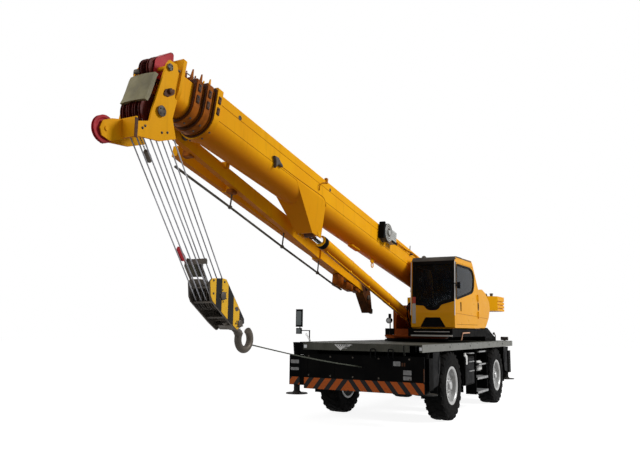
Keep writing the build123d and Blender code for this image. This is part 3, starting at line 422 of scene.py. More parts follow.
def hazardFinish(name, look):
    # slanting stripes, which may meet over the centre line: the colour switches on the fraction of
    # (|y - middle| + slope * (z - level)) / pitch
    material, tree, shader, place = startFinish(name)
    finishSurface(tree, shader, place, look)
    x, y, z = addNode(tree, "SeparateXYZ", {0: place}).outputs
    across = {"x": x, "y": y}[look["across"]]
    if look["meet"]:
        across = math2(tree, "ABSOLUTE", math2(tree, "SUBTRACT", across, look["middle"]))
    slant = math2(tree, "ADD", across, math2(tree, "MULTIPLY",
                                             math2(tree, "SUBTRACT", z, look["level"]), look["slope"]))
    part = math2(tree, "FRACT", math2(tree, "DIVIDE",
                                      math2(tree, "ADD", slant, 10 * look["pitch"]), look["pitch"]))
    stripe = spread(tree, part, look["share"] - 0.015, look["share"] + 0.015)
    worn = blendColours(tree, spread(tree, noise(tree, place, 30, 6), 0.4, 0.75, 0, 0.35),
                        look["colour"], look["second"])
    tree.links.new(blendColours(tree, stripe, worn, look["dark"]), shader.inputs["Base Color"])
    return material


def ropeFinish(name, turn):
    # twisted strands: bands at a slant across the rope, from a wave along a turned axis
    look = paint((0.3, 0.3, 0.32), (0.16, 0.16, 0.17), (0.35, 0.55), metal=0.6, grain=300, relief=0.002)
    material, tree, shader, place = startFinish(name)
    turned = addNode(tree, "Mapping", {"Vector": place, "Rotation": turn}).outputs[0]
    wave = addNode(tree, "TexWave", {"Vector": turned, "Scale": 22.0, "Distortion": 0.4}).outputs["Fac"]
    finishSurface(tree, shader, place, look, wave)
    return material


def glassFinish(name, tint, rough=0.02):
    material, tree, shader, place = startFinish(name)
    film = spread(tree, noise(tree, place, 3.0, 5), 0.3, 0.8, rough, rough + 0.05)
    tree.links.new(film, shader.inputs["Roughness"])
    shader.inputs["Base Color"].default_value = (*tint, 1)
    shader.inputs["Transmission Weight"].default_value = 0.97
    shader.inputs["IOR"].default_value = 1.1
    shader.inputs["Specular IOR Level"].default_value = 0.3
    return material


def splitFinish(name, main, other, mask):
    # two finishes on one node, chosen by a mask over Object coordinates
    material, tree, shader, place = startFinish(name)
    finishSurface(tree, shader, place, main)
    x, y, z = addNode(tree, "SeparateXYZ", {0: place}).outputs
    painted = shader.inputs["Base Color"].links[0].from_socket
    patch = spread(tree, noise(tree, place, 8), 0.35, 0.65)
    second = blendColours(tree, patch, other["colour"], other["second"])
    tree.links.new(blendColours(tree, mask(tree, x, y, z), painted, second), shader.inputs["Base Color"])
    return material


def between(tree, value, low, high):
    # 1 where the value lies between the two limits
    return math2(tree, "MULTIPLY", math2(tree, "GREATER_THAN", value, low),
                 math2(tree, "LESS_THAN", value, high))


def insideCab(tree, x, y, z):
    # the front leans back above the knee, so its limit follows the height
    lean = math2(tree, "MULTIPLY", math2(tree, "MAXIMUM", math2(tree, "SUBTRACT", z, 2.01), 0.0), 0.0606)
    mask = math2(tree, "MULTIPLY", between(tree, y, 0.38, 1.235), between(tree, z, 1.74, 3.12))
    return math2(tree, "MULTIPLY", mask, between(tree, math2(tree, "ADD", x, lean), -0.31, 1.436))


def shadePastCollar(start):
    # painted shade in inner brown only from the section's own front collar on, where it sits between the
    # collars; the drawn-in body stays plain.
    # along the boom s = 0.98357 x + 0.18052 z + 0.50611
    def mask(tree, x, y, z):
        along = math2(tree, "ADD", math2(tree, "MULTIPLY", x, 0.98357), math2(tree, "MULTIPLY", z, 0.18052))
        return math2(tree, "GREATER_THAN", along, start - 0.50611)
    return mask


def pastX(start):
    return lambda tree, x, y, z: math2(tree, "GREATER_THAN", x, start)


def jibTipShade(tree, x, y, z):
    # painted shade on the jib's tip: the dark brown fades in where x - z / 2 falls from 1.24 to 1.08
    return spread(tree, math2(tree, "SUBTRACT", x, math2(tree, "MULTIPLY", z, 0.5)), 1.24, 1.08)


# main finish, finish under the mask, mask
splitLooks = {
    "cabPaint": ("cabYellow", "blackTrim", insideCab),
    "reelPaint": ("lightGrey", "wornDark", pastX(2.49)),
    # jibPaint: the pad brown on the tip is painted shade
    "jibPaint": ("craneYellow", "padBrown", jibTipShade),
    "headPaint": ("headRed", "sheaveRed", pastX(9.1)),
    # collarPaint2 and collarPaint3: the inner brown past the collar is painted shade
    "collarPaint2": ("craneYellow", "innerBrown", shadePastCollar(9.03)),
    "collarPaint3": ("craneYellow", "innerBrown", shadePastCollar(9.19)),
}
for name, (main, other, mask) in splitLooks.items():
    finish[name] = splitFinish(name, finishLooks[main], finishLooks[other], mask)
finish["deckPlate"] = deckFinish()
finish["frontHazard"] = hazardFinish("frontHazard",
                                     paint((0.46, 0.1, 0.018), (0.2, 0.04, 0.012), (0.3, 0.5),
                                           dark=(0.012, 0.011, 0.011), grain=90,
                                           across="y", meet=True, middle=-0.142,
                                           level=0.61, slope=0.8, pitch=0.235, share=0.56))
finish["blockHazard"] = hazardFinish("blockHazard",
                                     paint((0.83, 0.47, 0.03), (0.6, 0.32, 0.03), (0.3, 0.5),
                                           dark=(0.012, 0.012, 0.012), grain=90,
                                           across="x", meet=False, middle=0,
                                           level=0, slope=0.0, pitch=0.245, share=0.52))
finish["fallRope"] = ropeFinish("fallRope", (0.4, 0.62, 0.5))
finish["topRope"] = ropeFinish("topRope", (0.3, -0.18, 0.6))
finish["windowGlass"] = glassFinish("windowGlass", (0.16, 0.19, 0.23))
print("finishes made:", len(finish))

nodeFinish = {
    "carrierBlack": ["carrier_frame", "slewing_ring", "front_outrigger_box", "rear_outrigger_box", "fenders",
                     "side_steps", "side_tanks", "engine_hood", "turntable_deck", "front_mirror"],
    # the turret and right housing take the painted-shade red-brown
    "turretPaintedShade": ["turret", "right_housing"],
    "reelPaint": ["cable_reel"],
    "jibPaint": ["jib"],
    "axleBlack": ["driveline", "engine", "axle_front", "axle_rear"],
    "deckPlate": ["deck"],
    "craneYellow": ["counterweight", "boom_base", "boom_section_4", "auxiliary_arm", "lift_barrel"],
    "collarPaint2": ["boom_section_2"],
    "collarPaint3": ["boom_section_3"],
    "cabYellow": ["rear_housing"],
    "cabPaint": ["cab_shell", "cab_door"],
    "windowGlass": ["cab_glass", "door_glass"],
    "blackTrim": ["operator_seat"],
    "bareSteel": ["winches"],
    "chromeRod": ["lift_rod"],
    "headPaint": ["head_sheaves"],
    "wornDark": ["hook_block", "hook"],
    "fallRope": ["rope_falls"],
    "clearLens": ["carrier_lamps"],
}
corners = ("front_left", "front_right", "rear_left", "rear_right")
for corner in corners:
    for look, part in (("axleBlack", "knuckle_"), ("axleBlack", "jack_"), ("carrierBlack", "outrigger_beam_"),
                       ("rimSilver", "rim_"), ("tyreRubber", "tyre_")):
        nodeFinish.setdefault(look, []).append(part + corner)
for name, nodes in nodeFinish.items():
    for node in nodes:
        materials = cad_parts[node].data.materials
        materials.clear()
        materials.append(finish[name])
print("finishes given to the frame")

# ---- wheels
tyreShape = {"lugs": 24, "skew": 0.9, "carcass": 0.628, "top": 0.6395, "shoulder": 0.168, "centreGap": 0.012}


def tyreGrid(corner, shape):
    # radius over (angle u, place v across the tyre): carcass profile plus lug height times a mask
    # that is 1 over each slanted lug, with the lugs of the two halves half a pitch apart
    low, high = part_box("tyre_" + corner)
    centre = (np.array(low) + np.array(high)) / 2
    half = (high.y - low.y) / 2
    outward = 1 if centre[1] > 0 else -1
    side = np.array([(half - 0.026, 0.3203), (half - 0.026, 0.358),
                     (half - 0.008, 0.376), (half - 0.0005, 0.41),
                     (half, 0.45), (half - 0.003, 0.47), (half, 0.49), (half, 0.52),
                     (half - 0.004, 0.55), (half - 0.016, 0.585)])
    tread = np.array([(half - 0.026, 0.6), (0.15, shape["carcass"]), (0.1, shape["carcass"] + 0.002),
                      (0.05, shape["carcass"] + 0.003),
                      (0.03, shape["carcass"] + 0.003), (shape["centreGap"], shape["carcass"] + 0.003)])
    lugTop = np.array([(shape["shoulder"] + 0.008, 0.622), (0.155, 0.633),
                       (0.1, shape["top"]), (0.05, shape["top"]),
                       (0.022, shape["top"]), (shape["centreGap"] + 0.006, shape["top"])])
    pitch = 2 * pi / shape["lugs"]
    steps = np.array([0.0, 0.03, 0.25, 0.45, 0.48, 0.5, 0.75, 0.97]) * pitch
    mask = np.array([0.0, 1.0, 1.0, 1.0, 0.0, 0.0, 0.0, 0.0])
    turn = (np.arange(shape["lugs"])[:, None] * pitch + steps).ravel()
    mask = np.tile(mask, shape["lugs"])
    columns = []
    for sign in (-1, 1):
        rows = []
        offset = 0.0 if sign < 0 else pitch / 2
        for a, r in side:
            rows.append((turn + offset, np.full(len(turn), sign * a), np.full(len(turn), r)))
        for (a, r), (aTop, rTop) in zip(tread, lugTop):
            angle = turn + offset + shape["skew"] * (0.19 - a)
            rows.append((angle, sign * (a + mask * (aTop - a)), r + mask * (rTop - r)))
        columns.append(rows)
    loop = columns[0] + columns[1][::-1]
    inner = [(turn, np.full(len(turn), a), np.full(len(turn), 0.3203)) for a in (half - 0.03, 0.0, 0.03 - half)]
    loop = loop + inner + loop[:1]
    angle, along, radius = (np.array([row[i] for row in loop]) for i in range(3))
    x = centre[0] + radius * np.cos(angle)
    y = centre[1] + outward * along
    z = centre[2] + radius * np.sin(angle)
    return np.stack([x, y, z], -1)


nutShape = {"count": 10, "circle": 0.128, "radius": 0.015, "height": 0.02}


def makeWheelDetail(corner):
    tyre = makePiece("tyreTread_" + corner, [tyreGrid(corner, tyreShape)], "tyreRubber",
                     "wheel_" + corner, sharp=25)
    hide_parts("tyre_" + corner)
    low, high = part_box("rim_" + corner)
    centre = (np.array(low) + np.array(high)) / 2
    outward = 1 if centre[1] > 0 else -1
    tyreLow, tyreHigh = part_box("tyre_" + corner)
    middle = (tyreLow.y + tyreHigh.y) / 2
    angle = turns(nutShape["count"])
    places = np.stack([centre[0] + nutShape["circle"] * np.cos(angle),
                       np.full(len(angle), middle + outward * 0.118),
                       centre[2] + nutShape["circle"] * np.sin(angle)], -1)
    grids = boltGrids(places, (0, outward, 0), nutShape["radius"], nutShape["height"])
    hub = [(0, 0.0), (0, 0.075), (0.03, 0.075), (0.042, 0.066), (0.046, 0.03), (0.046, 0.0)]
    grids.append(turnedGrid(hub, (centre[0], middle + outward * 0.1195, centre[2]), (0, outward, 0), 32))
    makePiece("hubNuts_" + corner, grids, "rimSilver", "wheel_" + corner)


for corner in corners:
    makeWheelDetail(corner)
print("wheels done")

# ---- outlines: closed rings of (u, v) points carried into space by a function of (u, v, w)

def offsetOutline(outline, grow):
    # every corner moved along its mitre by grow; positive grows the ring
    outline = np.asarray(outline, float)
    before, after = np.roll(outline, 1, 0), np.roll(outline, -1, 0)
    area = np.sum(outline[:, 0] * after[:, 1] - after[:, 0] * outline[:, 1])
    a, b = outline - before, after - outline
    a, b = (v / np.linalg.norm(v, axis=1, keepdims=True) for v in (a, b))
    na, nb = (np.column_stack([v[:, 1], -v[:, 0]]) * np.sign(area) for v in (a, b))
    return outline + grow * (na + nb) / (1 + np.sum(na * nb, 1, keepdims=True))


def roundOutline(corners, radius, steps=4):
    # closed ring with each corner rounded
    corners = np.asarray(corners, float)
    rows = zip(np.roll(corners, 1, 0), corners, np.roll(corners, -1, 0))
    return np.concatenate([roundCorner(*row, radius, 2.2, steps) for row in rows])


def plateGrid(outline, thick, bevel, toSpace, low=0.0):
    # flat plate of the given outline: pole, drawn-in rim, rim, rim, drawn-in rim, pole
    outline = np.asarray(outline, float)
    middle = outline.mean(0)
    inset = offsetOutline(outline, -bevel)
    levels = [(0 * outline + middle, 0), (inset, 0), (outline, bevel), (outline, thick - bevel), (inset, thick),
              (0 * outline + middle, thick)]
    uvw = np.stack([np.column_stack([uv, np.full(len(uv), low + w)]) for uv, w in levels])
    return toSpace(uvw[..., 0], uvw[..., 1], uvw[..., 2])


def bandGrid(outer, inner, thick, toSpace, bevel=0.002):
    # closed strip between two rings of as many points, with its edges rounded over
    outer, inner = np.asarray(outer, float), np.asarray(inner, float)
    gap = np.linalg.norm(outer - inner, axis=1, keepdims=True)
    part = np.minimum(bevel / np.maximum(gap, 1e-6), 0.4)
    a, b = inner + (outer - inner) * part, outer + (inner - outer) * part
    levels = [(inner, 0), (inner, thick - bevel), (a, thick), (b, thick),
              (outer, thick - bevel), (outer, 0), (inner, 0)]
    uvw = np.stack([np.column_stack([uv, np.full(len(uv), w)]) for uv, w in levels])
    return toSpace(uvw[..., 0], uvw[..., 1], uvw[..., 2])


def onFace(x, face=1):
    # plane square to the length, u to the left and v upwards
    return lambda u, v, w: np.stack([x + face * w, u + 0 * v, v + 0 * u], -1)


def onFlank(y, side=1):
    # plane square to the width, u forward and v upwards
    return lambda u, v, w: np.stack([u + 0 * v, y + side * w, v + 0 * u], -1)


def rectangle(y0, y1, z0, z1, radius=0.012):
    return roundOutline([(y0, z0), (y1, z0), (y1, z1), (y0, z1)], radius)


def boxGrids(rows, bevel=0.004):
    # several chamfered boxes from rows of (centre, size) or (centre, size, turn)
    return [placed(blockGrid(row[1], min(bevel, 0.3 * min(row[1]))), row[0],
                   row[2] if len(row) > 2 else (0, 0, 0))
            for row in rows]


# ---- boom: weld lines in painted shade, side fittings, pads and bolts on the collars
boomTrim = {"half": 0.24, "keel": -0.06, "front": 8.92, "collar": 0.1, "gap": 0.065,
            "rise": 0.034, "step": 0.025, "top": 0.3, "bolt": (0.009, 0.012)}


def onSide(y, flip=1):
    return lambda u, v, w: onBoom(u, y + flip * w, v)


def collarOutline(look, k, grow, steps=20):
    # flat top, straight sides and round keel of section k's collar
    half = look["half"] - k * look["step"] + look["rise"] + grow
    top = look["top"] - k * look["step"] + look["rise"] + grow
    angle = np.linspace(pi, 2 * pi, steps)
    keel = np.column_stack([half * np.cos(angle), look["keel"] + half * np.sin(angle)])
    return np.concatenate([keel, [(half, top - 0.03), (half - 0.03, top),
                                  (0.03 - half, top), (-half, top - 0.03)]])


def makeCollarTrim(look, k, body):
    s = look["front"] + k * (look["collar"] + look["gap"])
    middle, bolt = s + look["collar"] / 2, look["bolt"]
    half, top = (look[key] - k * look["step"] + look["rise"] for key in ("half", "top"))
    front = lambda u, v, w: onBoom(s + look["collar"] + w, u, v)
    # the dark pad band on each collar's front is partly a rubber edge and partly painted shade where the next
    # section goes in
    pads = [bandGrid(collarOutline(look, k, -0.014), collarOutline(look, k, -0.046), 0.012, front)]
    pads += [boomBlock((0.05, 0.012, 0.1), 0.003, middle, side * (half + 0.005), n)
             for side in (-1, 1) for n in (0.17, 0.02)]
    makePiece("collarPads_" + body, pads, "padBrown", body)
    bolts = []
    for side in (-1, 1):
        bolts += boltGrids(onBoom(middle, side * (half + 0.01), np.array([0.2, 0.14, 0.05, -0.01])),
                           (0, side, 0), *bolt)
    square = lambda y, n: onBoom(0, y, n) - onBoom(0, 0, 0)
    bolts += boltGrids(onBoom(middle, np.array([-0.15, -0.1, 0.1, 0.15]), top), square(0, 1), *bolt)
    for y, n in onCircle(0, 0, 1, np.radians([225, 250, 290, 315])):
        bolts += boltGrids([onBoom(middle, half * y, look["keel"] + half * n)], square(y, n), *bolt)
    makePiece("collarBolts_" + body, bolts, "wornDark", body)


for k, body in enumerate(("boom_base", "boom_2", "boom_3")):
    makeCollarTrim(boomTrim, k, body)

boomFittings = {
    # y, n, start and end along the boom
    "weldShadeLines": [(0.2405, -0.06, 0.95, 8.9), (-0.2405, -0.06, 0.95, 8.9), (0.2405, 0.16, 0.95, 8.9)],
    "bracketEdge": [(s, 0.2405, n) for s, n in ((7.5, -0.03), (6.99, -0.03), (6.11, -0.01),
                                                (6.03, -0.07), (6.02, -0.13))],
    "plugs": [(8.489, 0.187, 0.032), (5.93, 0.19, 0.026)],
    # lug on the side: a short arm with a downward claw
    "claw": [(7.66, 0.02), (7.56, 0.03), (7.5, -0.01), (7.44, -0.03), (7.43, -0.06),
             (7.52, -0.055), (7.57, -0.09), (7.6, -0.14), (7.61, -0.05)],
    "hook": [(6.29, 0.25, 0.04), (6.33, 0.27, 0.12), (6.24, 0.27, 0.19), (6.08, 0.26, 0.26), (5.98, 0.2, 0.34)],
    "pipe": [(3.28, 0.262, 0.2), (2.6, 0.262, 0.2), (2.2, 0.262, 0.24), (1.2, 0.262, 0.24), (0.9, 0.25, 0.24)],
    "clips": [(3.0, 0.2), (2.5, 0.205), (1.9, 0.24), (1.4, 0.24)],
    "lampPost": [(1.3, 0.2, 0.3), (1.3, 0.2, 0.36)], "lamp": (1.3, 0.2, 0.385),
    "aerial": [(2.27, 0.235, 0.28), (2.27, 0.235, 0.37)], "button": (2.27, 0.246, 0.18),
    "keelRing": (3.58, -0.41, 0.045),
}


def boomPath(points):
    return [onBoom(*point) for point in points]


def makeBoomFittings(look):
    # weld lines and the bracket's edge in shade yellow: painted shade lines along the boom's bends
    weldShadeLines = [tubeGrid(onBoom(np.linspace(a, b, 4), y, n), 0.0035, 8) for y, n, a, b in look["weldShadeLines"]]
    weldShadeLines.append(rodGrid(boomPath(look["bracketEdge"]), 0.08, 0.006))
    makePiece("boomWeldShadeLines", weldShadeLines, "shadeYellow", "boom_base")
    face = boomTrim["half"]
    marks = [knobGrid([(0, r), (0.004, r), (0.006, r * 0.8), (0.002, r * 0.7)],
                      onBoom(s, face, n), (0, 1, 0), 24)
             for s, n, r in look["plugs"]]
    marks.append(plateGrid(look["claw"], 0.05, 0.006, onSide(face)))
    makePiece("boomSideMarks", marks, "wornDark", "boom_base")
    # the side hook in shade yellow is painted shade
    hook = [rodGrid(boomPath(look["hook"]), 0.05, 0.008),
            boomBlock((0.05, 0.05, 0.09), 0.006, 6.08, 0.235, 0.29)]
    makePiece("boomSideHook", hook, "shadeYellow", "boom_base")
    pipe = [rodGrid(boomPath(look["pipe"]), 0.06, 0.011, 10)]
    pipe += [boomBlock((0.03, 0.03, 0.05), 0.003, s, 0.252, n) for s, n in look["clips"]]
    makePiece("boomSidePipe", pipe, "craneYellow", "boom_base")
    lamp = [boomBlock((0.09, 0.09, 0.09), 0.02, *look["lamp"]), tubeGrid(boomPath(look["lampPost"]), 0.014),
            tubeGrid(boomPath(look["aerial"]), 0.009)]
    lamp.append(knobGrid([(0, 0.02), (0.05, 0.02), (0.06, 0.012)], onBoom(*look["button"]), (0, 1, 0), 16))
    makePiece("boomTopLamp", lamp, "wornDark", "boom_base")
    s, n, radius = look["keelRing"]
    angle = ringTurns(24)
    lugs = [boomBlock((0.34, 0.1, 0.05), 0.012, 4.42, 0.0, -0.315),
            boomBlock((0.12, 0.03, 0.09), 0.008, 3.6, 0.0, -0.33)]
    lugs.append(tubeGrid(onBoom(s + radius * np.cos(angle), 0.0, n + radius * np.sin(angle)), 0.01, 8,
                         ends=False))
    makePiece("keelLugs", lugs, "craneYellow", "boom_base")


makeBoomFittings(boomFittings)

# hoist rope over the boom; the runs on the four sections lie in each other and draw apart as it extends
ropeRun = {"lift": 0.425, "radius": 0.0095, "nest": 0.0006}
for k, body in enumerate(("boom_base", "boom_2", "boom_3", "boom_4")):
    run = [(1.0 + 0.2 * k, 0.0, ropeRun["lift"]), (9.12, 0.0, ropeRun["lift"])]
    if k == 0:
        run = [(0.12, 0.0, 0.14), (0.32, 0.0, 0.34), (0.55, 0.0, ropeRun["lift"])] + run
    if k == 3:
        run += [(9.5, 0.0, 0.39), (9.82, 0.055, 0.258), (9.93, 0.06, 0.215), (9.985, 0.06, 0.12)]
    makePiece("topRope_" + body, [rodGrid([onBoom(*p) for p in run], 0.2,
                                          ropeRun["radius"] - k * ropeRun["nest"])],
              "topRope", body)
drumRope = [(-1.52, 0.0, 2.4), (-1.25, 0.0, 2.6), tuple(onBoom(0.12, 0.0, 0.14))]
makePiece("drumRope", [rodGrid(drumRope, 0.1, 0.0095)], "topRope", "superstructure")

drumLook = {"drums": ((-1.48, 2.22), (-1.96, 2.11)), "half": 0.222, "root": 0.151, "layer": 0.176,
            "ridge": 0.008, "pitch": 0.0185}


def makeDrumLayers(look):
    # rope wound on each drum: radius is a row of half-round ridges along the drum
    half, root = look["half"], look["root"]
    y = np.linspace(-half, half, 157)
    radius = look["layer"] + look["ridge"] * np.abs(np.sin(y / look["pitch"] * pi))
    profile = [(-half, root), *zip(y, radius), (half, root), (0.0, root), (-half, root)]
    grids = [turnedGrid(profile, (x, 0, z), (0, 1, 0), 40) for x, z in look["drums"]]
    makePiece("drumLayers", grids, "topRope", "superstructure")


makeDrumLayers(drumLook)
print("boom fittings done")

# ---- boom head: guard over the upper sheaves, shield below it, pin caps
headTrim = {
    "cheek": [(9.72, 0.05), (9.66, 0.3), (9.68, 0.42), (9.73, 0.425), (9.93, 0.225), (9.94, 0.19),
              (9.93, 0.05), (9.86, 0.0)],
    "roof": [(9.685, 0.417), (9.73, 0.42), (9.83, 0.32), (9.935, 0.218)], "roofHalf": 0.092, "sheet": 0.008,
    "shield": [(10.02, -0.03), (10.035, -0.08), (10.05, -0.2), (10.07, -0.33), (10.09, -0.4)],
    # across the shield: y and how far the sheet stands forward, its edge folded back
    "shieldAcross": [(-0.15, -0.05), (-0.146, 0.0), (-0.05, 0.012), (0.08, 0.012), (0.214, 0.0),
                     (0.218, -0.05), (0.214, -0.006), (0.08, 0.006), (-0.05, 0.006), (-0.146, -0.006)],
    # s, y, n and radius of the pin caps
    "caps": [(9.86, 0.262, -0.44, 0.062), (9.856, 0.256, 0.116, 0.042)],
    "bolts": [(9.64, 0.12), (9.7, 0.16), (9.62, -0.02), (10.03, -0.7), (10.06, -0.74),
              (9.7, -0.62), (9.78, -0.66)],
    "face": 0.244,
    "keeper": [(9.72, -0.09), (9.86, -0.16), (9.87, -0.24), (9.8, -0.23), (9.71, -0.15)],
    # two dark strips where the nose arm meets the head plate: painted shade in the fold
    "flange": [((9.122, side * 0.2475, 3.712), (0.045, 0.009, 0.215)) for side in (1, -1)],
    "fold": [(9.66, -0.25, 0.2), (9.62, -0.25, 0.34), (9.6, -0.25, 0.42)],
    "bar": [(9.94, -0.09, 0.23), (9.69, 0.08, 0.44)],
}


def makeHeadTrim(look):
    half, sheet, face = look["roofHalf"], look["sheet"], look["face"]
    cheeks = [plateGrid(look["cheek"], sheet, 0.001, onSide(y)) for y in (-half, half - sheet)]
    roof = [onBoom(np.full(4, s), np.array([-half, -half, half, half]), n + np.array([0, sheet, sheet, 0.0]))
            for s, n in look["roof"]]
    makePiece("upperSheaveGuard", cheeks + [capped(roof)], "sheaveRed", "boom_4")
    across, forward = np.array(look["shieldAcross"]).T
    makePiece("headShield", [capped([onBoom(s + forward, across, n) for s, n in look["shield"]])],
              "shieldGrey", "boom_4")
    caps = []
    for side in (-1, 1):
        for s, y, n, r in look["caps"]:
            caps.append(knobGrid([(0, r), (0.01, r), (0.014, r * 0.85)],
                                 onBoom(s, side * y, n), (0, side, 0), 28))
            places = [onBoom(u, side * (y + 0.014), v) for u, v in onCircle(s, n, 0.6 * r, turns(4, 0.5))]
            caps += boltGrids(places, (0, side, 0), 0.007, 0.008)
        caps += boltGrids([onBoom(s, side * face, n) for s, n in look["bolts"]], (0, side, 0), 0.011, 0.012)
    makePiece("headCaps", caps, "wornDark", "boom_4")
    keeper = [plateGrid(roundOutline(look["keeper"], 0.02), 0.012, 0.002, onSide(face))]
    keeper.append(knobGrid([(0, 0.035), (0.03, 0.033), (0.034, 0.02)],
                           onBoom(9.79, 0.25, -0.155), (0, 1, 0), 20))
    # dark strips on the nose: painted shade in the fold
    makePiece("noseFoldShade", boxGrids(look["flange"], 0.003), "padBrown", "boom_4")
    makePiece("headKeeper", keeper, "padBrown", "boom_4")
    lamp = [rodGrid(boomPath(look["fold"]), 0.03, 0.012), tubeGrid(boomPath(look["bar"]), 0.006, 8),
            boomBlock((0.05, 0.06, 0.05), 0.008, 10.04, -0.05, 0.01)]
    makePiece("headLamp", lamp, "wornDark", "boom_4")


makeHeadTrim(headTrim)
print("boom head done")

# ---- jib: rod on stand-offs below the near leg, clamps and pins
jibTrim = {
    "y": -0.43, "rod": [(8.8, -0.555), (7.58, -0.66), (6.12, -0.8), (4.37, -0.95), (3.95, -0.975)],
    # s, n and height of the stand-offs
    "stand": [(7.58, -0.66, 0.24), (6.12, -0.8, 0.245), (4.9, -0.905, 0.23)],
    "clamps": [(7.62, -0.44, (0.12, 0.12, 0.06)), (8.62, -0.23, (0.1, 0.14, 0.24)),
               (4.15, -0.86, (0.24, 0.12, 0.22)),
               (3.75, -0.87, (0.26, 0.12, 0.14)), (3.4, -0.86, (0.2, 0.14, 0.06))],
    "pins": [(2.95, -0.33, -0.9), (3.05, -0.33, -0.72), (8.9, -0.262, -0.21)],
}


def makeJibTrim(look):
    y = look["y"]
    rod = [tubeGrid([onBoom(s, y, n) for s, n in look["rod"]], 0.017, 10)]
    for s, n, rise in look["stand"]:
        rod += [boomBlock((0.05, 0.05, 0.05), 0.008, s, y, n),
                tubeGrid([onBoom(s, y, n), onBoom(s, y, n + rise)], 0.012, 8)]
    makePiece("jibRod", rod, "rodGrey", "boom_base")
    makePiece("jibClamps", [boomBlock(size, 0.01, s, y + 0.02, n) for s, n, size in look["clamps"]],
              "innerBrown", "boom_base")
    pins = [knobGrid([(0, 0.05), (0.02, 0.05), (0.026, 0.04), (0.03, 0.02)], onBoom(*place), (0, 1, 0), 20)
            for place in look["pins"]]
    pins += [boomBlock((0.1, 0.06, 0.1), 0.01, 2.72, -0.36, -1.12),
             boomBlock((0.07, 0.2, 0.07), 0.01, 3.2, -0.42, -0.59)]
    makePiece("jibPins", pins, "wornDark", "boom_base")


makeJibTrim(jibTrim)

# ---- lift cylinder: gland rings, pipe and eye collar
liftPins = {
    "foot": (0.05, 1.765), "eye": tuple(np.delete(onBoom(6.0, 0.0, -0.55), 1)), "gland": 0.43, "pipeY": 0.05,
    "bands": (0.9, 1.9, 2.9, 3.7),
    # closed rings of (distance along the axis, radius)
    "glandRing": [(-0.02, 0.105), (-0.02, 0.1075), (0.03, 0.1075), (0.03, 0.1), (0.085, 0.1), (0.09, 0.075),
                  (0.09, 0.0725), (-0.02, 0.1045)],
    "band": [(-0.018, 0.105), (-0.018, 0.109), (0.018, 0.109), (0.018, 0.105), (-0.018, 0.105)],
    "sleeve": [(-0.088, 0.076), (-0.088, 0.0795), (0.088, 0.0795), (0.088, 0.076), (-0.088, 0.076)],
    "neck": [(-0.098, 0.0722), (-0.098, 0.076), (-0.078, 0.084), (-0.07, 0.0722), (-0.098, 0.0722)],
}


def makeLiftTrim(look):
    foot, eye = (np.array([p[0], 0, p[1]]) for p in (look["foot"], look["eye"]))
    length = np.linalg.norm(eye - foot)
    along = (eye - foot) / length
    above = np.cross(along, (0, 1, 0)) * -1
    at = lambda d, up=0.0, y=0.0: foot + along * d + above * up + np.array([0, y, 0])
    end = length - look["gland"]
    rings = [turnedGrid(look["glandRing"], at(end), along, 40)]
    rings += boltGrids([at(end + 0.03, u, v) for u, v in onCircle(0, 0, 0.099, turns(10))], along, 0.006, 0.012)
    makePiece("glandRing", rings, "blackTrim", "lift_barrel")
    y = look["pipeY"]
    pipe = [rodGrid([at(0.32, 0.1, y - 0.01), at(0.36, 0.128, y), at(end - 0.14, 0.128, y),
                     at(end - 0.1, 0.1, y - 0.01)], 0.03, 0.012, 10)]
    lean = -degrees(atan2(along[2], along[0]))
    for d in look["bands"]:
        pipe += [turnedGrid(look["band"], at(d), along, 40),
                 placed(blockGrid((0.036, 0.036, 0.04), 0.004), at(d, 0.122, y), (0, lean, 0))]
    makePiece("liftPipe", pipe, "craneYellow", "lift_barrel")
    makePiece("rodEyeSleeve", [turnedGrid(look["sleeve"], eye, (0, 1, 0), 40),
                               turnedGrid(look["neck"], eye, along, 40)], "padBrown", "lift_rod")


makeLiftTrim(liftPins)
print("jib and lift cylinder done")

# ---- cab: surrounds of the panes, pillar strips, wiper, mirror, handles, roof edge
cabLook = {"side": 1.255, "front": 1.458, "knee": 2.01, "slope": 0.0606, "pillar": (0.352, 1.2545),
           "windscreen": [(0.425, 2.212), (0.65, 2.194), (0.714, 2.104), (0.888, 2.106),
                          (0.952, 2.206), (1.21, 2.276), (1.21, 3.0), (0.425, 3.0)],
           "doorGlass": [(1.3, 2.29), (1.262, 2.975), (0.3, 2.975), (0.09, 2.925), (0.005, 2.8), (0.02, 2.62),
                         (0.09, 2.52), (0.2, 2.468)],
           "notch": [(0.54, 1.726), (0.652, 1.914), (0.948, 1.914), (1.066, 1.726)], "notchFace": 1.4325,
           "slats": (1.76, 1.79, 1.82, 1.85, 1.88),
           "roofEdge": [(1.4, 3.044), (1.404, 3.052), (1.312, 3.136), (1.298, 3.1405), (0.9, 3.147),
                        (0.9, 3.143), (1.298, 3.137)],
           "doorPillar": [(1.346, 2.28), (1.4355, 2.3), (1.394, 3.03), (1.3, 3.02)],
           "markers": [("sideMarkerRed", "markerRed", 2.2, 2.33), ("sideMarkerPale", "lightGrey", 1.8, 2.198)],
           "rightPane": [(0.15, 2.35), (1.25, 2.35), (1.22, 2.96), (0.3, 2.96), (0.15, 2.78)],
           "roofSeam": [((0.75, 1.2565, 3.128), (1.08, 0.008, 0.022)),
                        ((1.345, 1.2565, 3.09), (0.1, 0.008, 0.02))],
           "hatch": [(0.32, 0.49), (1.15, 0.49), (1.15, 1.115), (0.32, 1.115)]}


def onFront(y, z, w):
    # the cab's front: upright below the knee, leaning back above it
    return np.stack([cabLook["front"] - cabLook["slope"] * np.maximum(z - cabLook["knee"], 0) + w,
                     y + 0 * z, z + 0 * y], -1)


onCabSide = onFlank(cabLook["side"])


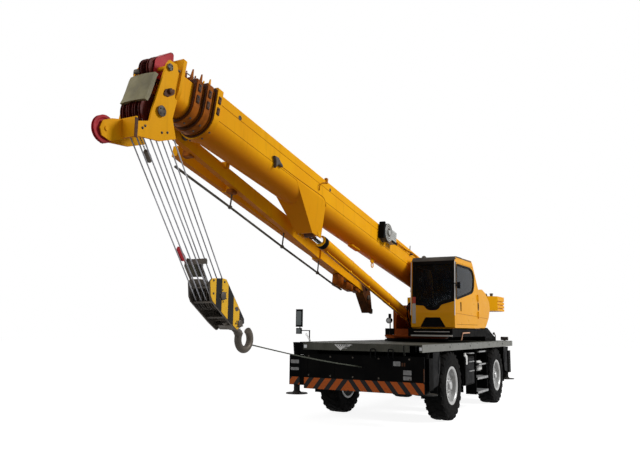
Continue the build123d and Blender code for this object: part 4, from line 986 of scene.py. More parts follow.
def makeCabSurrounds(look):
    ring = roundOutline(look["windscreen"], 0.045)
    outer = offsetOutline(ring, 0.045)
    # the surround stops at the pillars and under the roof edge
    near, far = look["pillar"]
    outer[:, 0] = np.clip(outer[:, 0], near, far)
    outer[outer[:, 0] > 1.2, 0] = far
    outer[outer[:, 0] < 0.45, 0] = np.minimum(outer[outer[:, 0] < 0.45, 0], near + 0.02)
    outer[:, 1] = np.where(outer[:, 1] > 2.98, 3.047, outer[:, 1])
    surround = bandGrid(outer, offsetOutline(ring, -0.02), 0.005, onFront)
    makePiece("windscreenSurround", [surround], "blackTrim", "superstructure")
    # roof edge: dark cover that follows the slope from the windscreen to the roof
    x, z = np.array(look["roofEdge"]).T
    rows = [np.stack([x, np.full(len(x), y), z], -1) for y in (near, 0.36, 1.2, 1.25, far)]
    makePiece("roofEdge", [capped(rows)], "roofDark", "superstructure")
    door = roundOutline(look["doorGlass"], 0.05)
    outer = offsetOutline(door, 0.022)
    outer[outer[:, 0] > 1.2, 0] += 0.004
    gasket = bandGrid(outer, offsetOutline(door, -0.014), 0.004, onCabSide)
    makePiece("doorGasket", [gasket], "blackTrim", "cab_door")
    cover = plateGrid(look["doorPillar"], 0.004, 0.001, onCabSide)
    makePiece("pillarCover", [cover], "blackTrim", "superstructure")
    # grille in the notch: slats that narrow upwards with it
    grille = [plateGrid(roundOutline(look["notch"], 0.02), 0.004, 0.001, onFace(look["notchFace"]))]
    for z in look["slats"]:
        reach = (z - 1.722) / 0.198 * 0.114
        grille.append(placed(blockGrid((0.008, 0.5 - 2 * reach, 0.01), 0.002), (1.438, 0.803, z), (0, 25, 0)))
    makePiece("frontGrille", grille, "blackTrim", "superstructure")
    strips = [tubeGrid([onFront(y, z, 0.001) for z in (1.96, 2.01, 2.6, 3.04)], 0.009, 8)
              for y in (0.345, 1.2575)]
    makePiece("cornerStrips", strips, "whitePlate", "superstructure")
    for name, paintName, low, high in look["markers"]:
        marker = plateGrid(rectangle(0.376, 0.448, low, high), 0.006, 0.001, onFront)
        makePiece(name, [marker], paintName, "superstructure")
    pane = roundOutline(look["rightPane"], 0.05)
    gasket = bandGrid(offsetOutline(pane, 0.02), offsetOutline(pane, -0.014), 0.004, onFlank(0.35, -1))
    makePiece("boomSideGasket", [gasket], "blackTrim", "superstructure")
    makePiece("roofSeam", boxGrids(look["roofSeam"], 0.003), "roofDark", "superstructure")
    hatch = roundOutline(look["hatch"], 0.06)
    onRoof = lambda x, y, w: np.stack([x + 0 * y, y + 0 * x, 3.15 - (x - 0.19) * 0.0135 + w], -1)
    rim = bandGrid(offsetOutline(hatch, 0.035), offsetOutline(hatch, -0.012), 0.012, onRoof, 0.004)
    makePiece("roofHatchRim", [rim], "roofDark", "superstructure")


cabFittings = {
    "wiperFoot": (0.8, 2.16), "wiperArm": [(0.8, 2.16, 0.03), (0.72, 2.3, 0.03), (0.6, 2.62, 0.02)],
    "mirrorArm": [(1.435, 1.2, 2.6), (1.5, 1.25, 2.6), (1.5, 1.31, 2.57), (1.43, 1.345, 2.55)],
    "mirror": [((1.4, 1.335, 2.55), (0.05, 0.06, 0.13)), ((1.44, 1.215, 2.6), (0.03, 0.06, 0.06)),
               ((1.33, 1.275, 2.55), (0.14, 0.022, 0.022))],
    "handle": [((1.022, 1.2465, 2.143), (0.06, 0.01, 0.17)), ((1.022, 1.254, 2.19), (0.022, 0.014, 0.085))],
    "latch": [((-0.285, 1.256, 2.19), (0.07, 0.01, 0.17)), ((-0.285, 1.263, 2.2), (0.02, 0.014, 0.1))],
    # x from, x to and y of the pressed line that falls gently to the rear
    "doorCrease": [(1.32, -0.23, 1.2555)], "bodyCrease": [(1.45, 1.342, 1.2555),
                                                          (-0.25, -0.325, 1.2555), (-0.345, -1.3, 1.2005)],
}


def creaseGrids(runs):
    return [tubeGrid([(x, y, 2.006 - (1.455 - x) * 0.022) for x in np.linspace(x0, x1, 4)], 0.004, 6)
            for x0, x1, y in runs]


def makeCabFittings(look):
    grids = [knobGrid([(0, 0.022), (0.03, 0.018), (0.04, 0)],
                      onFront(*look["wiperFoot"], 0.004), (1, 0, 0), 20)]
    grids.append(rodGrid([onFront(*point) for point in look["wiperArm"]], 0.04, 0.006))
    grids.append(tubeGrid([onFront(0.6 + 0.03 * t, 2.62 + 0.3 * t, 0.008) for t in (-1, -0.5, 0, 0.5, 1)],
                          0.007, 6))
    grids += [rodGrid(look["mirrorArm"], 0.03, 0.011)] + boxGrids(look["mirror"], 0.012)
    makePiece("wiperAndMirror", grids, "blackTrim", "superstructure")
    makePiece("doorHandle", boxGrids(look["handle"]), "blackTrim", "cab_door")
    makePiece("rearLatch", boxGrids(look["latch"]), "padBrown", "superstructure")
    # the pressed lines are drawn in shade yellow: painted shade in the creases
    makePiece("doorCrease", creaseGrids(look["doorCrease"]), "shadeYellow", "cab_door")
    makePiece("bodyCrease", creaseGrids(look["bodyCrease"]), "shadeYellow", "superstructure")


makeCabSurrounds(cabLook)
makeCabFittings(cabFittings)


# seat: crowned cushions with sewn channels, on a pedestal with arm consoles
def cushionGrid(size, crown, pull, channels, turn, centre, rows=40, cols=72):
    # rounded box by powers of sine and cosine; its sides draw in between the corners by pull,
    # its top swells by crown towards the middle, and each channel is a narrow dip across it
    lat = np.linspace(-pi / 2, pi / 2, rows)[:, None]
    lon = turns(cols)[None, :]
    power = lambda v, e: np.sign(v) * np.abs(v) ** e
    flat = power(np.cos(lat), 0.35)
    x = flat * power(np.cos(lon), 0.3)
    y = flat * power(np.sin(lon), 0.3)
    z = power(np.sin(lat), 0.6) * np.ones_like(lon)
    drawn = 1 - pull * np.cos(2 * lon) ** 2 * flat
    swell = (1 - x ** 2) * (1 - y ** 2)
    dip = sum(np.exp(-((y - c) / 0.035) ** 2) for c in channels) * (z > 0)
    z = z * (1 + crown * swell) - 0.16 * dip * np.maximum(z, 0)
    grid = np.stack([x * drawn * size[0] / 2, y * drawn * size[1] / 2, z * size[2] / 2], -1)
    return placed(grid, centre, turn)


seatLook = {"centre": 0.8025, "floor": 1.757, "cushion": (0.48, 0.46, 0.12), "back": (0.66, 0.43, 0.12)}


def makeSeat(look):
    y, floor = look["centre"], look["floor"]
    cushions = [cushionGrid(look["cushion"], 0.25, 0.03, (-0.42, 0.42), (0, -3, 0), (0.35, y, floor + 0.315)),
                cushionGrid(look["back"], 0.3, 0.04, (-0.45, 0.45), (0, -83, 0), (0.135, y, floor + 0.7)),
                cushionGrid((0.18, 0.28, 0.1), 0.2, 0.03, (), (0, -83, 0), (0.085, y, floor + 1.1))]
    pads = makePiece("seatCushions", cushions, "seatCloth", "superstructure", sharp=60)
    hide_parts("operator_seat")
    frameRows = [((0.335, y, floor + 0.12), (0.36, 0.34, 0.24)), ((0.35, y, floor + 0.245), (0.46, 0.42, 0.03)),
                 ((0.07, y, floor + 0.7), (0.03, 0.36, 0.6), (0, -7, 0))]
    for side in (-1, 1):
        frameRows += [((0.33, y + side * 0.26, floor + 0.21), (0.14, 0.12, 0.42)),
                      ((0.42, y + side * 0.295, floor + 0.47), (0.44, 0.09, 0.09)),
                      ((0.58, y + side * 0.295, floor + 0.55), (0.025, 0.025, 0.1))]
    makePiece("seatFrame", boxGrids(frameRows, 0.018), "blackTrim", "superstructure")
    hub = np.array([0.985, y, floor + 0.672])
    tilt = radians(-16)
    angle = ringTurns(40)
    axis = np.array([sin(tilt), 0, cos(tilt)])
    across = np.array([cos(tilt), 0, -sin(tilt)])
    rim = hub + 0.175 * (np.cos(angle)[:, None] * across + np.sin(angle)[:, None] * np.array([0, 1, 0]))
    wheel = [tubeGrid(rim, 0.013, 10, ends=False),
             tubeGrid([(1.176, y, floor + 0.016), hub - axis * 0.02], 0.034, 16)]
    wheel += [tubeGrid([hub, rim[i]], 0.01, 8) for i in (0, 13, 27)]
    wheel += boxGrids([((1.17, y, floor + 0.015), (0.13, 0.12, 0.03)),
                       ((1.24, y + 0.12, floor + 0.55), (0.06, 0.26, 0.2), (0, -20, 0))], 0.01)
    makePiece("steeringWheel", wheel, "blackTrim", "superstructure")


makeSeat(seatLook)
print("cab done")

# ---- upper structure: rail, lamps, bolts, weights, front lip of the platform
upperTrim = {
    "rail": [(0.86, 1.2, 1.47), (0.87, 1.235, 1.615), (0.37, 1.235, 1.62)],
    "spot": (1.17, -0.24, 1.86), "spotAxis": (1, -0.1, -0.1), "spotFoot": (1.14, -0.24, 1.565),
    "spotShell": [(-0.07, 0), (-0.07, 0.035), (-0.03, 0.055), (0.03, 0.06), (0.045, 0.06),
                  (0.045, 0.052), (0.03, 0.05), (0.03, 0)],
    "spotLens": [(0.031, 0), (0.031, 0.049), (0.034, 0.049), (0.042, 0.03), (0.044, 0)],
    "cheekBolts": [(-2.12, 2.02), (-2.12, 2.24), (-2.05, 2.13), (-1.9, 1.98)], "cheek": 0.324,
    "filler": [(0, 0.035), (0.05, 0.035), (0.055, 0.045), (0.075, 0.045), (0.08, 0.03)],
    # two stiff bent pipes between the turret and the cylinder's foot: x, y, z and the gap between them
    "pipe": [(0.62, 0.11, 2.0), (0.86, 0.11, 2.24), (1.02, 0.11, 2.2), (1.06, 0.11, 2.0), (0.98, 0.12, 1.8),
             (0.8, 0.13, 1.66)], "pipeGap": 0.06,
    "pipeEnds": [((0.62, 0.14, 1.99), (0.08, 0.16, 0.05), (0, -30, 0)),
                 ((0.79, 0.15, 1.65), (0.07, 0.14, 0.06))],
}


def makeUpperTrim(look):
    makePiece("sideRail", [rodGrid(look["rail"], 0.03, 0.012)], "railPale", "superstructure")
    lip = [placed(blockGrid((0.01, 0.74, 0.014), 0.003), (1.503, 0.79, 1.637)),
           placed(blockGrid((0.006, 0.86, 0.03), 0.002), (1.502, 0.79, 1.56))]
    makePiece("platformLip", lip, "lightGrey", "superstructure")
    spot, foot = np.array(look["spot"]), look["spotFoot"]
    lamp = [turnedGrid(look["spotShell"], spot, look["spotAxis"], 32),
            rodGrid([spot + (-0.03, 0, -0.05), spot + (-0.03, 0, -0.12), foot], 0.02, 0.013)]
    lamp += boxGrids([((1.14, -0.24, 1.57), (0.09, 0.09, 0.016)), ((1.155, -0.24, 1.955), (0.05, 0.05, 0.09))],
                     0.006)
    makePiece("spotLamp", lamp, "blackTrim", "superstructure")
    makePiece("spotLens", [turnedGrid(look["spotLens"], spot, look["spotAxis"], 32)],
              "clearLens", "superstructure")
    bolts, cheek = [], look["cheek"]
    for side in (-1, 1):
        bolts += boltGrids([(x, side * cheek, z) for x, z in onCircle(*boomFoot, 0.085, turns(8))],
                           (0, side, 0), 0.01, 0.012)
        bolts += boltGrids([(x, side * 0.3, z) for x, z in look["cheekBolts"]], (0, side, 0), 0.014, 0.014)
        bolts.append(knobGrid([(0, 0.058), (0.008, 0.058), (0.012, 0.05)],
                              (boomFoot[0], side * (cheek + 0.002), boomFoot[1]), (0, side, 0), 32))
    makePiece("turretBolts", bolts, "wornDark", "superstructure")
    weights = [knobGrid(look["filler"], (-2.45, 1.02, 2.52), (0, 0, 1), 24)]
    for y in (-0.8, 0.8):
        weights.append(tubeGrid([(-2.8 + 0.07 * cos(a), y, 2.515 + 0.09 * sin(a))
                                 for a in np.linspace(0, pi, 13)],
                                0.016, 8))
    weights += boxGrids([((-3.02, 0.0, 2.525), (0.1, 1.2, 0.02)), ((-2.3, 0.0, 2.525), (0.08, 1.2, 0.02))],
                        0.005)
    makePiece("weightFittings", weights, "wornDark", "superstructure")
    pipes = [tubeGrid(bentPath(np.array(look["pipe"]) + (0, gap, 0), 0.12, 7), 0.014, 10)
             for gap in (0.0, look["pipeGap"])]
    makePiece("liftPipes", pipes + boxGrids(look["pipeEnds"], 0.01), "blackTrim",
              "superstructure")


makeUpperTrim(upperTrim)

# cable reel: ribbed case and drum rings
reelLook = {"drum": (3.74, 0.37, 0.17), "rings": (0.165, 0.135, 0.1), "case": (3.445, 0.363, 0.175),
            "ribs": (-0.08, -0.04, 0.0, 0.04, 0.08)}


def makeReel(look):
    centre = onBoom(*look["drum"])
    rings = []
    for r in look["rings"]:
        profile = [(0, r - 0.012), (0.006, r - 0.008), (0.008, r), (0.006, r + 0.006), (0, r + 0.008),
                   (-0.002, r), (0, r - 0.012)]
        rings.append(turnedGrid(profile, centre, (0, 1, 0), 36))
    rings.append(knobGrid([(0, 0.05), (0.02, 0.045), (0.026, 0.03)], centre, (0, 1, 0), 28))
    s, y, n = look["case"]
    rings += [boomBlock((0.2, 0.008, 0.012), 0.003, s, y, n + rib) for rib in look["ribs"]]
    makePiece("reelRibs", rings, "lightGrey", "boom_base")
    dark = [boomBlock((0.05, 0.118, 0.32), 0.008, 3.93, 0.31, 0.17),
            boomBlock((0.24, 0.012, 0.05), 0.004, 3.44, 0.372, 0.06)]
    makePiece("reelShade", dark, "blackTrim", "boom_base")


makeReel(reelLook)
print("upper structure done")

# ---- hook block: hazard plates on the cheeks, axle caps, weight and tag on the ropes
hangPoint = (8.77744, 3.99215)
fallLean = radians(35.7)
hookTrim = {
    "cheek": [(-0.11, -2.212), (-0.058, -2.164), (0.118, -2.056), (0.174, -2.064), (0.256, -2.214),
              (0.262, -2.288), (0.12, -2.684), (0.058, -2.828), (0.038, -2.862), (-0.126, -2.876),
              (-0.152, -2.836), (-0.143, -2.7)],
    # a, b and radius of the axle's and the trunnion's caps
    "caps": [(0.06, -2.345, 0.052), (-0.044, -2.829, 0.048)], "face": 0.174,
    "bolts": [(-0.06, -2.22), (0.11, -2.09), (0.2, -2.22), (0.02, -2.78), (-0.1, -2.8)],
    "hole": [(-0.13, -2.68), (-0.06, -2.66), (-0.06, -2.6), (-0.12, -2.62)],
    "spacers": [(-0.07, -2.25), (0.2, -2.13), (0.235, -2.32), (0.0, -2.74), (0.12, -2.62)],
    "web": [(-0.128, -2.45), (-0.137, -2.62), (-0.15, -2.72), (-0.157, -2.84)],
    "weight": [(-0.075, 0.011), (-0.06, 0.034), (0.0, 0.04), (0.06, 0.034), (0.085, 0.013),
               (0.085, 0.011), (-0.075, 0.011)],
    "weightPlace": (0.03, -0.15, -0.47), "links": 7,
    "panel": [(0.045, -1.8), (-0.215, -2.005), (-0.085, -2.15), (0.1, -2.04)], "bars": 8,
    "tag": [(0.155, -1.63), (0.1, -1.6), (0.065, -1.76), (0.08, -1.82), (0.145, -1.79)],
}


def onHang(a, y, b):
    # axes of the falls: b runs up along the ropes, a square to them
    a, y, b = np.broadcast_arrays(np.asarray(a, float), y, b)
    c, k = cos(fallLean), sin(fallLean)
    return np.stack([hangPoint[0] + a * c + b * k, y, hangPoint[1] - a * k + b * c], -1)


def onCheek(y, side):
    return lambda u, v, w: onHang(u, side * (y + w), v)


def chainGrid(centre, i, width, height, radius, toSpace):
    # oval link standing lengthwise, or crosswise for every other one
    flat = width * np.cos(ringTurns(12))
    u, v = (flat, 0 * flat) if i % 2 else (0 * flat, flat)
    return tubeGrid(toSpace(centre[0] + u, centre[1] + v, centre[2] + height * np.sin(ringTurns(12))),
                    radius, 6, ends=False)


def makeHookTrim(look):
    face = look["face"]
    makePiece("cheekPlates", [plateGrid(look["cheek"], 0.004, 0.0012, onCheek(0.1702, side))
                              for side in (-1, 1)],
              "blockHazard", "falls")
    caps = []
    for side in (-1, 1):
        for a, b, r in look["caps"]:
            caps.append(knobGrid([(0, r), (0.012, r), (0.018, r * 0.8)],
                                 onHang(a, side * face, b), (0, side, 0), 28))
            caps += boltGrids([onHang(u, side * face, v) for u, v in onCircle(a, b, r + 0.02, turns(6))],
                              (0, side, 0), 0.007, 0.008)
        caps += boltGrids([onHang(a, side * face, b) for a, b in look["bolts"]], (0, side, 0), 0.01, 0.01)
        caps.append(plateGrid(roundOutline(look["hole"], 0.02), 0.003, 0.0008, onCheek(face + 0.0002, side)))
    makePiece("blockCaps", caps, "wornDark", "falls")
    # spacers between the cheeks and a dark web over the lower front
    inside = [tubeGrid([onHang(a, -0.148, b), onHang(a, 0.148, b)], 0.014, 10) for a, b in look["spacers"]]
    web = [onHang(a + np.array([0, 0.006, 0.006, 0]), np.array([-0.147, -0.147, 0.147, 0.147]), b)
           for a, b in look["web"]]
    makePiece("blockWeb", inside + [capped(web)], "wornDark", "falls")
    a, y, b = look["weightPlace"]
    weight = [turnedGrid(look["weight"], onHang(a, y, b), onHang(0, 0, 1) - onHang(0, 0, 0), 20)]
    weight += [chainGrid((a, y, b + 0.09 + 0.024 * i), i, 0.009, 0.016, 0.0032, onHang)
               for i in range(look["links"])]
    makePiece("ropeWeight", weight, "wornDark", "falls")
    panel = [plateGrid(look["panel"], 0.003, 0.0008, lambda u, v, w: onHang(u, -0.169 + w, v))]
    for i in range(look["bars"]):
        t = (i + 0.5) / look["bars"]
        panel.append(tubeGrid([onHang(0.045 - 0.26 * t, -0.172, -1.8 - 0.205 * t),
                               onHang(0.1 - 0.185 * t, -0.172, -2.04 - 0.11 * t)], 0.004, 6))
    makePiece("guardPanel", panel, "guardOlive", "falls")
    tag = [plateGrid(roundOutline(look["tag"], 0.02), 0.03, 0.004, onCheek(0.15, -1))]
    tag.append(tubeGrid([onHang(0.1, -0.16, -1.78), onHang(0.1, -0.16, -1.85)], 0.01, 8))
    makePiece("ropeTag", tag, "sheaveRed", "falls")


makeHookTrim(hookTrim)

# ---- sling from the hook back to the front apron, drawn tight with a slight dip
slingRun = {"radius": 0.009, "length": 3.308, "points": [(6.6274, 0.0, 1.4525), (6.2, 0.015, 1.385),
                                                         (5.5, 0.042, 1.278), (4.7, 0.076, 1.167),
                                                         (3.9, 0.108, 1.072), (3.352, 0.13, 1.0125)]}


def makeSling(look):
    line = bpy.data.curves.new("sling", "CURVE")
    line.dimensions = "3D"
    spline = line.splines.new("NURBS")
    spline.points.add(len(look["points"]) - 1)
    for point, place in zip(spline.points, look["points"]):
        point.co = (*place, 1)
    spline.order_u = 3
    spline.use_endpoint_u = True
    spline.resolution_u = 12
    line.bevel_depth = look["radius"]
    line.bevel_resolution = 4
    line.use_fill_caps = True
    line.materials.append(finish["slingGrey"])
    piece = addObject("sling", line)
    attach(piece, "hook")


makeSling(slingRun)
makePiece("slingStaple", [rodGrid([(3.334, 0.09, 0.995), (3.362, 0.09, 0.995), (3.362, 0.17, 0.995),
                                   (3.334, 0.17, 0.995)], 0.012, 0.007)]
                                   + boxGrids([((3.337, 0.13, 0.995), (0.006, 0.13, 0.05))], 0.002),
                                   "blackTrim", "carrier")
print("hook and sling done")

# ---- carrier front and rear: chevron bands, bare plates, handles, hatch pattern, reflectors
hazardBand = {"low": 0.588, "high": 0.785, "thick": 0.003, "jack": (0.212, 0.14),
              "jackHeight": 0.715, "jackIn": 0.118}


def makeHazardBands(look):
    thick = look["thick"]
    grids = []
    for node, face in (("front_outrigger_box", 1), ("rear_outrigger_box", -1)):
        low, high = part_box(node)
        x = high.x if face > 0 else low.x
        size = (thick, high.y - low.y - 0.01, look["high"] - look["low"])
        centre = (x + face * thick / 2, (high.y + low.y) / 2, (look["high"] + look["low"]) / 2)
        grids.append(placed(blockGrid(size, 0.001), centre))
    makePiece("hazardBand", grids, "frontHazard", "carrier")
    # every jack but the front left one carries a band too
    for corner in corners[1:]:
        low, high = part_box("outrigger_beam_" + corner)
        face = 1 if "front" in corner else -1
        side = 1 if "left" in corner else -1
        x = high.x if face > 0 else low.x
        centre = (x + face * thick / 2, side * (max(abs(low.y), abs(high.y)) - look["jackIn"]),
                  look["jackHeight"])
        band = placed(blockGrid((thick, *look["jack"]), 0.001), centre)
        makePiece("jackBand_" + corner, [band], "frontHazard", "beam_" + corner)


makeHazardBands(hazardBand)

frontTrim = {
    "apron": 3.334, "skirt": 3.44,
    # plates as y from, y to, z from, z to
    "plates": [(0.722, 0.855, 1.05, 1.13), (0.905, 1.055, 0.905, 0.985), (0.905, 1.055, 0.82, 0.885)],
    "splitPlates": [(0.875, 0.905, 1.05, 1.11), (0.918, 0.945, 1.05, 1.11)],
    "edgeStrip": (1.268, 1.284, 0.8, 1.02),
    "jackPlates": [(0.03, 0.205, 1.03, 1.095), (0.03, 0.205, 0.905, 0.955)],
    "hatchLines": [(-0.36, -0.01, 1.392), (-0.33, -0.06, 1.364), (-0.3, -0.11, 1.336)],
    # handles as (x, y from the middle, z)
    "handle": [(3.335, -0.045, 1.185), (3.475, -0.045, 1.185), (3.475, -0.045, 1.335), (3.475, 0.045, 1.335),
               (3.475, 0.045, 1.185), (3.335, 0.045, 1.185)],
    "handles": (0.405, 0.735), "grip": [(3.44, 1.31), (3.468, 1.31), (3.468, 1.395), (3.44, 1.395)],
    "grips": (0.965, 1.188),
    "seams": (0.8, 1.195), "ribs": [((3.336, y, 0.995), (0.008, 0.012, 0.38)) for y in (-0.98, -0.42, 1.08)],
    "gapPlate": ((3.3, -0.975, 1.265), (0.012, 0.38, 0.15)),
    "ringBolts": (0.2, 0.0, 0.672), "chain": (3.3, -1.03, 1.565), "links": 5,
}


def bareGrids(rows, toSpace, radius=0.012):
    return [plateGrid(rectangle(*row, radius), 0.003, 0.0008, toSpace) for row in rows]


def makeFrontPlates(look):
    apron, skirt = onFace(look["apron"]), onFace(look["skirt"])
    makePiece("barePlates", bareGrids(look["plates"], apron), "plateGrey", "carrier")
    low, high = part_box("outrigger_beam_front_right")
    jack = bareGrids([(low.y + y0, low.y + y1, z0, z1) for y0, y1, z0, z1 in look["jackPlates"]],
                     onFace(high.x))
    makePiece("jackPlates", jack, "plateGrey", "beam_front_right")
    split = bareGrids(look["splitPlates"], apron, 0.006)
    split += [plateGrid(rectangle(*look["edgeStrip"], 0.006), 0.012, 0.002, apron)]
    makePiece("frontReflectors", split, "padBrown", "carrier")
    # hatch pattern: slanting bars inside a triangle that stands on its point
    bars = []
    for i in range(7):
        a, b = np.array([-0.352 + 0.052 * i, 1.394]), np.array([-0.232 + 0.014 * i, 1.3 + 0.012 * i])
        along = (b - a) / np.linalg.norm(b - a)
        across = 0.0095 * np.array([-along[1], along[0]])
        bars.append(plateGrid([a - across, b - across, b + across, a + across], 0.003, 0.0008, skirt))
    for y0, y1, z in look["hatchLines"]:
        line = [(y0, z - 0.003), (y1, z - 0.003), (y1, z + 0.003), (y0, z + 0.003)]
        bars.append(plateGrid(line, 0.0025, 0.0006, skirt))
    makePiece("skirtHatch", bars, "whitePlate", "carrier")


def makeFrontFittings(look):
    handles = [rodGrid([(x, y + d, z) for x, d, z in look["handle"]], 0.025, 0.01) for y in look["handles"]]
    handles += [rodGrid([(x, y, z) for x, z in look["grip"]], 0.02, 0.008) for y in look["grips"]]
    makePiece("frontHandles", handles, "blackTrim", "carrier")
    # seams, bolts and stiffening ribs on the apron
    face = look["apron"]
    seams = [tubeGrid([(face, -1.03, z), (face, 1.03, z)], 0.004, 6) for z in look["seams"]]
    makePiece("apronSeams", seams + boxGrids([*look["ribs"], look["gapPlate"]], 0.003), "carrierBlack",
              "carrier")
    bolts = boltGrids([(face, y, z) for y in (-0.95, -0.5, -0.05, 0.45, 1.02) for z in (0.83, 1.17)], (1, 0, 0),
                      0.012, 0.012)
    bolts += boltGrids([(look["skirt"], y, 1.405) for y in np.linspace(-0.95, 0.95, 9)], (1, 0, 0), 0.007,
                       0.006)
    makePiece("apronBolts", bolts, "wornDark", "carrier")
    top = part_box("slewing_ring")[1].z - 0.002
    makePiece("ringBolts", boltGrids([(x, y, top) for x, y in onCircle(*look["ringBolts"], turns(30))],
                                     (0, 0, 1), 0.012, 0.014), "wornDark", "carrier")
    x, y, z = look["chain"]
    toSpace = lambda u, v, w: np.stack([u, v, w], -1)
    chain = [chainGrid((x, y + 0.02 * i, z - 0.028 * i), i, 0.013, 0.019, 0.004, toSpace)
             for i in range(look["links"])]
    makePiece("mirrorChain", chain + [tubeGrid([(x, -0.95, 1.421), (x, -0.95, 1.455)], 0.01, 8)],
              "whitePlate", "carrier")
    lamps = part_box("carrier_lamps")[0].x
    tail = [placed(blockGrid((0.008, 0.22, 0.07), 0.002), (lamps - 0.002, side * 0.74, 0.92))
            for side in (-1, 1)]
    makePiece("tailLenses", tail, "redLens", "carrier")
    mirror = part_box("front_mirror")[1].x
    glass = [plateGrid(rectangle(*row, 0.02), 0.003, 0.001, onFace(mirror - back))
             for *row, back in ((-1.242, -1.138, 1.735, 1.995, 0.002), (-1.238, -1.152, 1.585, 1.665, 0.008))]
    makePiece("kerbMirrorGlass", glass, "darkMirror", "carrier")


makeFrontPlates(frontTrim)
makeFrontFittings(frontTrim)
print("carrier front done")

# ---- carrier sides: bright treads, ladder, tank straps, skirt plugs, deck top fittings
sideTrim = {
    # height and depth of the steps, the lower two with a pressed top plate
    "treads": ((0.35, 0.25), (0.64, 0.23), (0.93, 0.21), (1.2, 0.19)), "x": (-0.905, -0.045), "out": 1.265,
    "rungs": (0.84, 1.03, 1.2), "skirt": 1.29,
    "bottle": [(0, 0.05), (0.02, 0.056), (0.17, 0.056), (0.2, 0.03), (0.22, 0.03), (0.23, 0.024)],
    "tankBoxes": [((0.42, 1.2355, 0.85), (0.6, 0.006, 0.5)), ((0.42, 1.2395, 0.85), (0.08, 0.01, 0.04))],
    "straps": (0.22, 0.78),
    "plugs": (1.918, 0.55, -1.0, -2.3), "hood": 1.003,
    "stack": [(0, 0.065), (0.02, 0.065), (0.02, 0.052), (0.34, 0.052), (0.36, 0.048),
              (0.34, 0.045), (0.1, 0.045)],
    "marker": [((-3.3, 1.115, 1.475), (0.06, 0.19, 0.09)), ((-3.3, 1.115, 1.425), (0.03, 0.05, 0.03))],
}


def makeSteps(look):
    treads = []
    x0, x1 = look["x"]
    middle, out = (x0 + x1) / 2, look["out"]
    # top plate with a row of pressed ribs: height is a raised cosine along the step
    u = np.linspace(x0, x1, 97)
    ridge = 0.004 * np.clip(np.cos((u - x0) / 0.036 * 2 * pi), 0, 1)
    for side in (-1, 1):
        for z, depth in look["treads"][:2]:
            treads.append(placed(blockGrid((x1 - x0, 0.004, 0.046), 0.001),
                                 (middle, side * (out + 0.002), z + 0.018)))
            y0, y1 = side * (out + 0.003), side * (out - depth + 0.01)
            rows = [np.column_stack([u, np.full(97, y), z + 0.0345 + h])
                    for y, h in ((y0, 0 * u), (y0, 0.002 + ridge), (y1, 0.002 + ridge), (y1, 0 * u))]
            pole = rows[0] * 0 + [middle, (y0 + y1) / 2, z + 0.0345]
            treads.append(np.stack([pole, *rows, pole]))
        for z, depth in look["treads"][2:]:
            treads.append(placed(blockGrid((x1 - x0 - 0.3, 0.004, 0.03), 0.001),
                                 (middle, side * (out - 0.001), z + 0.018)))
    makePiece("treadCovers", treads, "treadSteel", "carrier", wrap=False)
    ladder = [rodGrid([(0.16, 1.15, z), (0.16, 1.255, z), (0.5, 1.255, z), (0.5, 1.15, z)], 0.03, 0.013)
              for z in look["rungs"]]
    makePiece("tankRungs", ladder, "plateGrey", "carrier")


def makeTankFittings(look):
    up = (0, 0, 1)
    bottle = [knobGrid(look["bottle"], (0.66, 1.2, 0.98), up, 24)]
    bottle += boxGrids([((-0.62, 1.13, 0.9), (0.28, 0.1, 0.22))], 0.03)
    makePiece("fluidBottles", bottle, "whitePlate", "carrier")
    straps = []
    for x in look["straps"]:
        straps += boxGrids([((x, -1.237, 0.82), (0.05, 0.006, 0.42)),
                            ((x, -0.95, 0.5175), (0.05, 0.45, 0.006))], 0.002)
    straps += boxGrids(look["tankBoxes"], 0.003)
    straps += [knobGrid([(0, 0.055), (0.02, 0.058), (0.03, 0.05)], (0.76, -1.08, 1.175), up, 24)]
    makePiece("tankFittings", straps, "blackTrim", "carrier")


def makeDeckFittings(look):
    plugs, hood, skirt, flank = [], [], look["skirt"], look["hood"]
    for side in (-1, 1):
        for x in look["plugs"]:
            plugs.append(knobGrid([(0, 0.02), (0.003, 0.02), (0.004, 0.014), (0.001, 0.012)],
                                  (x, side * skirt, 1.359), (0, side, 0), 20))
        plugs += boltGrids([(x, side * skirt, 1.4) for x in np.linspace(-3.2, 3.2, 15)],
                           (0, side, 0), 0.007, 0.006)
        # louvres of the hood
        hood += [placed(blockGrid((0.42, 0.014, 0.018), 0.004),
                        (-2.05, side * (flank - 0.001), 1.5 + 0.028 * i),
                        (side * 30, 0, 0)) for i in range(7)]
        hood += boxGrids([((-1.8, side * flank, 1.47), (0.05, 0.012, 0.03)),
                          ((-2.5, side * flank, 1.46), (0.05, 0.012, 0.03))])
    makePiece("skirtPlugs", plugs, "blackTrim", "carrier")
    hood.append(knobGrid(look["stack"], (-2.62, -0.72, 1.5), (0, 0, 1), 28))
    makePiece("hoodFittings", hood, "blackTrim", "carrier")
    rear = boxGrids(look["marker"], 0.012)
    rear.append(rodGrid([(-3.3, 0.88, 1.42), (-3.3, 0.88, 1.56), (-3.3, 0.85, 1.61)], 0.02, 0.014))
    makePiece("rearMarkers", rear + boxGrids([((-3.3, 0.845, 1.6), (0.05, 0.05, 0.06))], 0.01), "wornDark",
              "carrier")


makeSteps(sideTrim)
makeTankFittings(sideTrim)
makeDeckFittings(sideTrim)

mudguards = {"axles": (1.75, -1.75), "reach": 0.803, "flap": (0.45, 0.92), "across": (0.935, 1.245),
             "thick": 0.008, "face": 1.262,
             "skirt": [(0.7, 1.285), (0.7, 1.02), (0.8, 0.76), (0.84, 0.7), (1.09, 0.66), (1.09, 1.285)]}


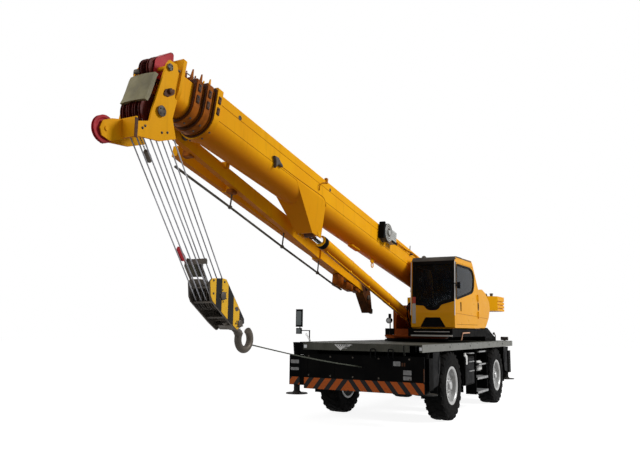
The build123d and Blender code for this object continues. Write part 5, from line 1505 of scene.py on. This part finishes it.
def makeMudguards(look):
    # rubber flaps hung from both ends of each arch, and a folded skirt between arch and outrigger box
    (low, high), (inner, outer), thick = look["flap"], look["across"], look["thick"]
    grids = []
    for side in (1, -1):
        for axle in look["axles"]:
            flaps = [(axle + end * look["reach"], side * (inner + outer) / 2, (low + high) / 2)
                     for end in (1, -1)]
            grids += boxGrids([(place, (thick, outer - inner, high - low)) for place in flaps], 0.003)
            skirt = [(axle + copysign(u, axle), v) for u, v in look["skirt"]]
            grids.append(plateGrid(roundOutline(skirt, 0.03), thick, 0.002, onFlank(side * look["face"], side)))
    makePiece("mudguards", grids, "blackTrim", "carrier")


makeMudguards(mudguards)
print("carrier sides done")

# ---- studio
studio = {"white": 1.0, "glow": 0.9, "fill": 0.25, "aim": (2.0, 0.0, 1.8), "floorHalf": 60.0,
          "floor": (0.42, 0.42, 0.42, 1),
          # place, power and size
          "lamps": {"keyLight": ((-1.0, 15.0, 12.0), 2700, 6.0), "sideLight": ((14.0, -4.0, 7.0), 350, 8.0)}}


def backgroundRays(tree):
    # 1 where the background is seen straight on, through glass or in a gloss
    rays = addNode(tree, "LightPath").outputs
    seen = math2(tree, "MAXIMUM", rays["Is Camera Ray"], rays["Is Transmission Ray"])
    return math2(tree, "MAXIMUM", seen, rays["Is Glossy Ray"])


def makeStudio(look):
    world = bpy.data.worlds.new("studio")
    bpy.context.scene.world = world
    world.use_nodes = True
    tree = world.node_tree
    ground = tree.nodes["Background"]
    ground.inputs["Color"].default_value = (1, 1, 1, 1)
    tree.links.new(spread(tree, backgroundRays(tree), 0.0, 1.0, look["fill"], look["white"]),
                   ground.inputs["Strength"])
    for name, (place, power, size) in look["lamps"].items():
        lamp = bpy.data.lights.new(name, "AREA")
        lamp.energy, lamp.size = power, size
        holder = addObject(name, lamp)
        aim = Vector(look["aim"]) - Vector(place)
        holder.matrix_world = Matrix.Translation(place) @ aim.to_track_quat("-Z", "Y").to_matrix().to_4x4()
    mesh = bpy.data.meshes.new("floor")
    half = look["floorHalf"]
    mesh.from_pydata([(-half, -half, 0), (half, -half, 0), (half, half, 0), (-half, half, 0)], [],
                     [(0, 1, 2, 3)])
    floor = addObject("floor", mesh)
    material, tree, shader, place = startFinish("floorWhite")
    for name, value in (("Base Color", look["floor"]), ("Roughness", 0.9), ("Specular IOR Level", 0.0),
                        ("Emission Color", (1, 1, 1, 1))):
        shader.inputs[name].default_value = value
    tree.links.new(math2(tree, "MULTIPLY", backgroundRays(tree), look["glow"]),
                   shader.inputs["Emission Strength"])
    mesh.materials.append(material)


makeStudio(studio)
print("studio done")
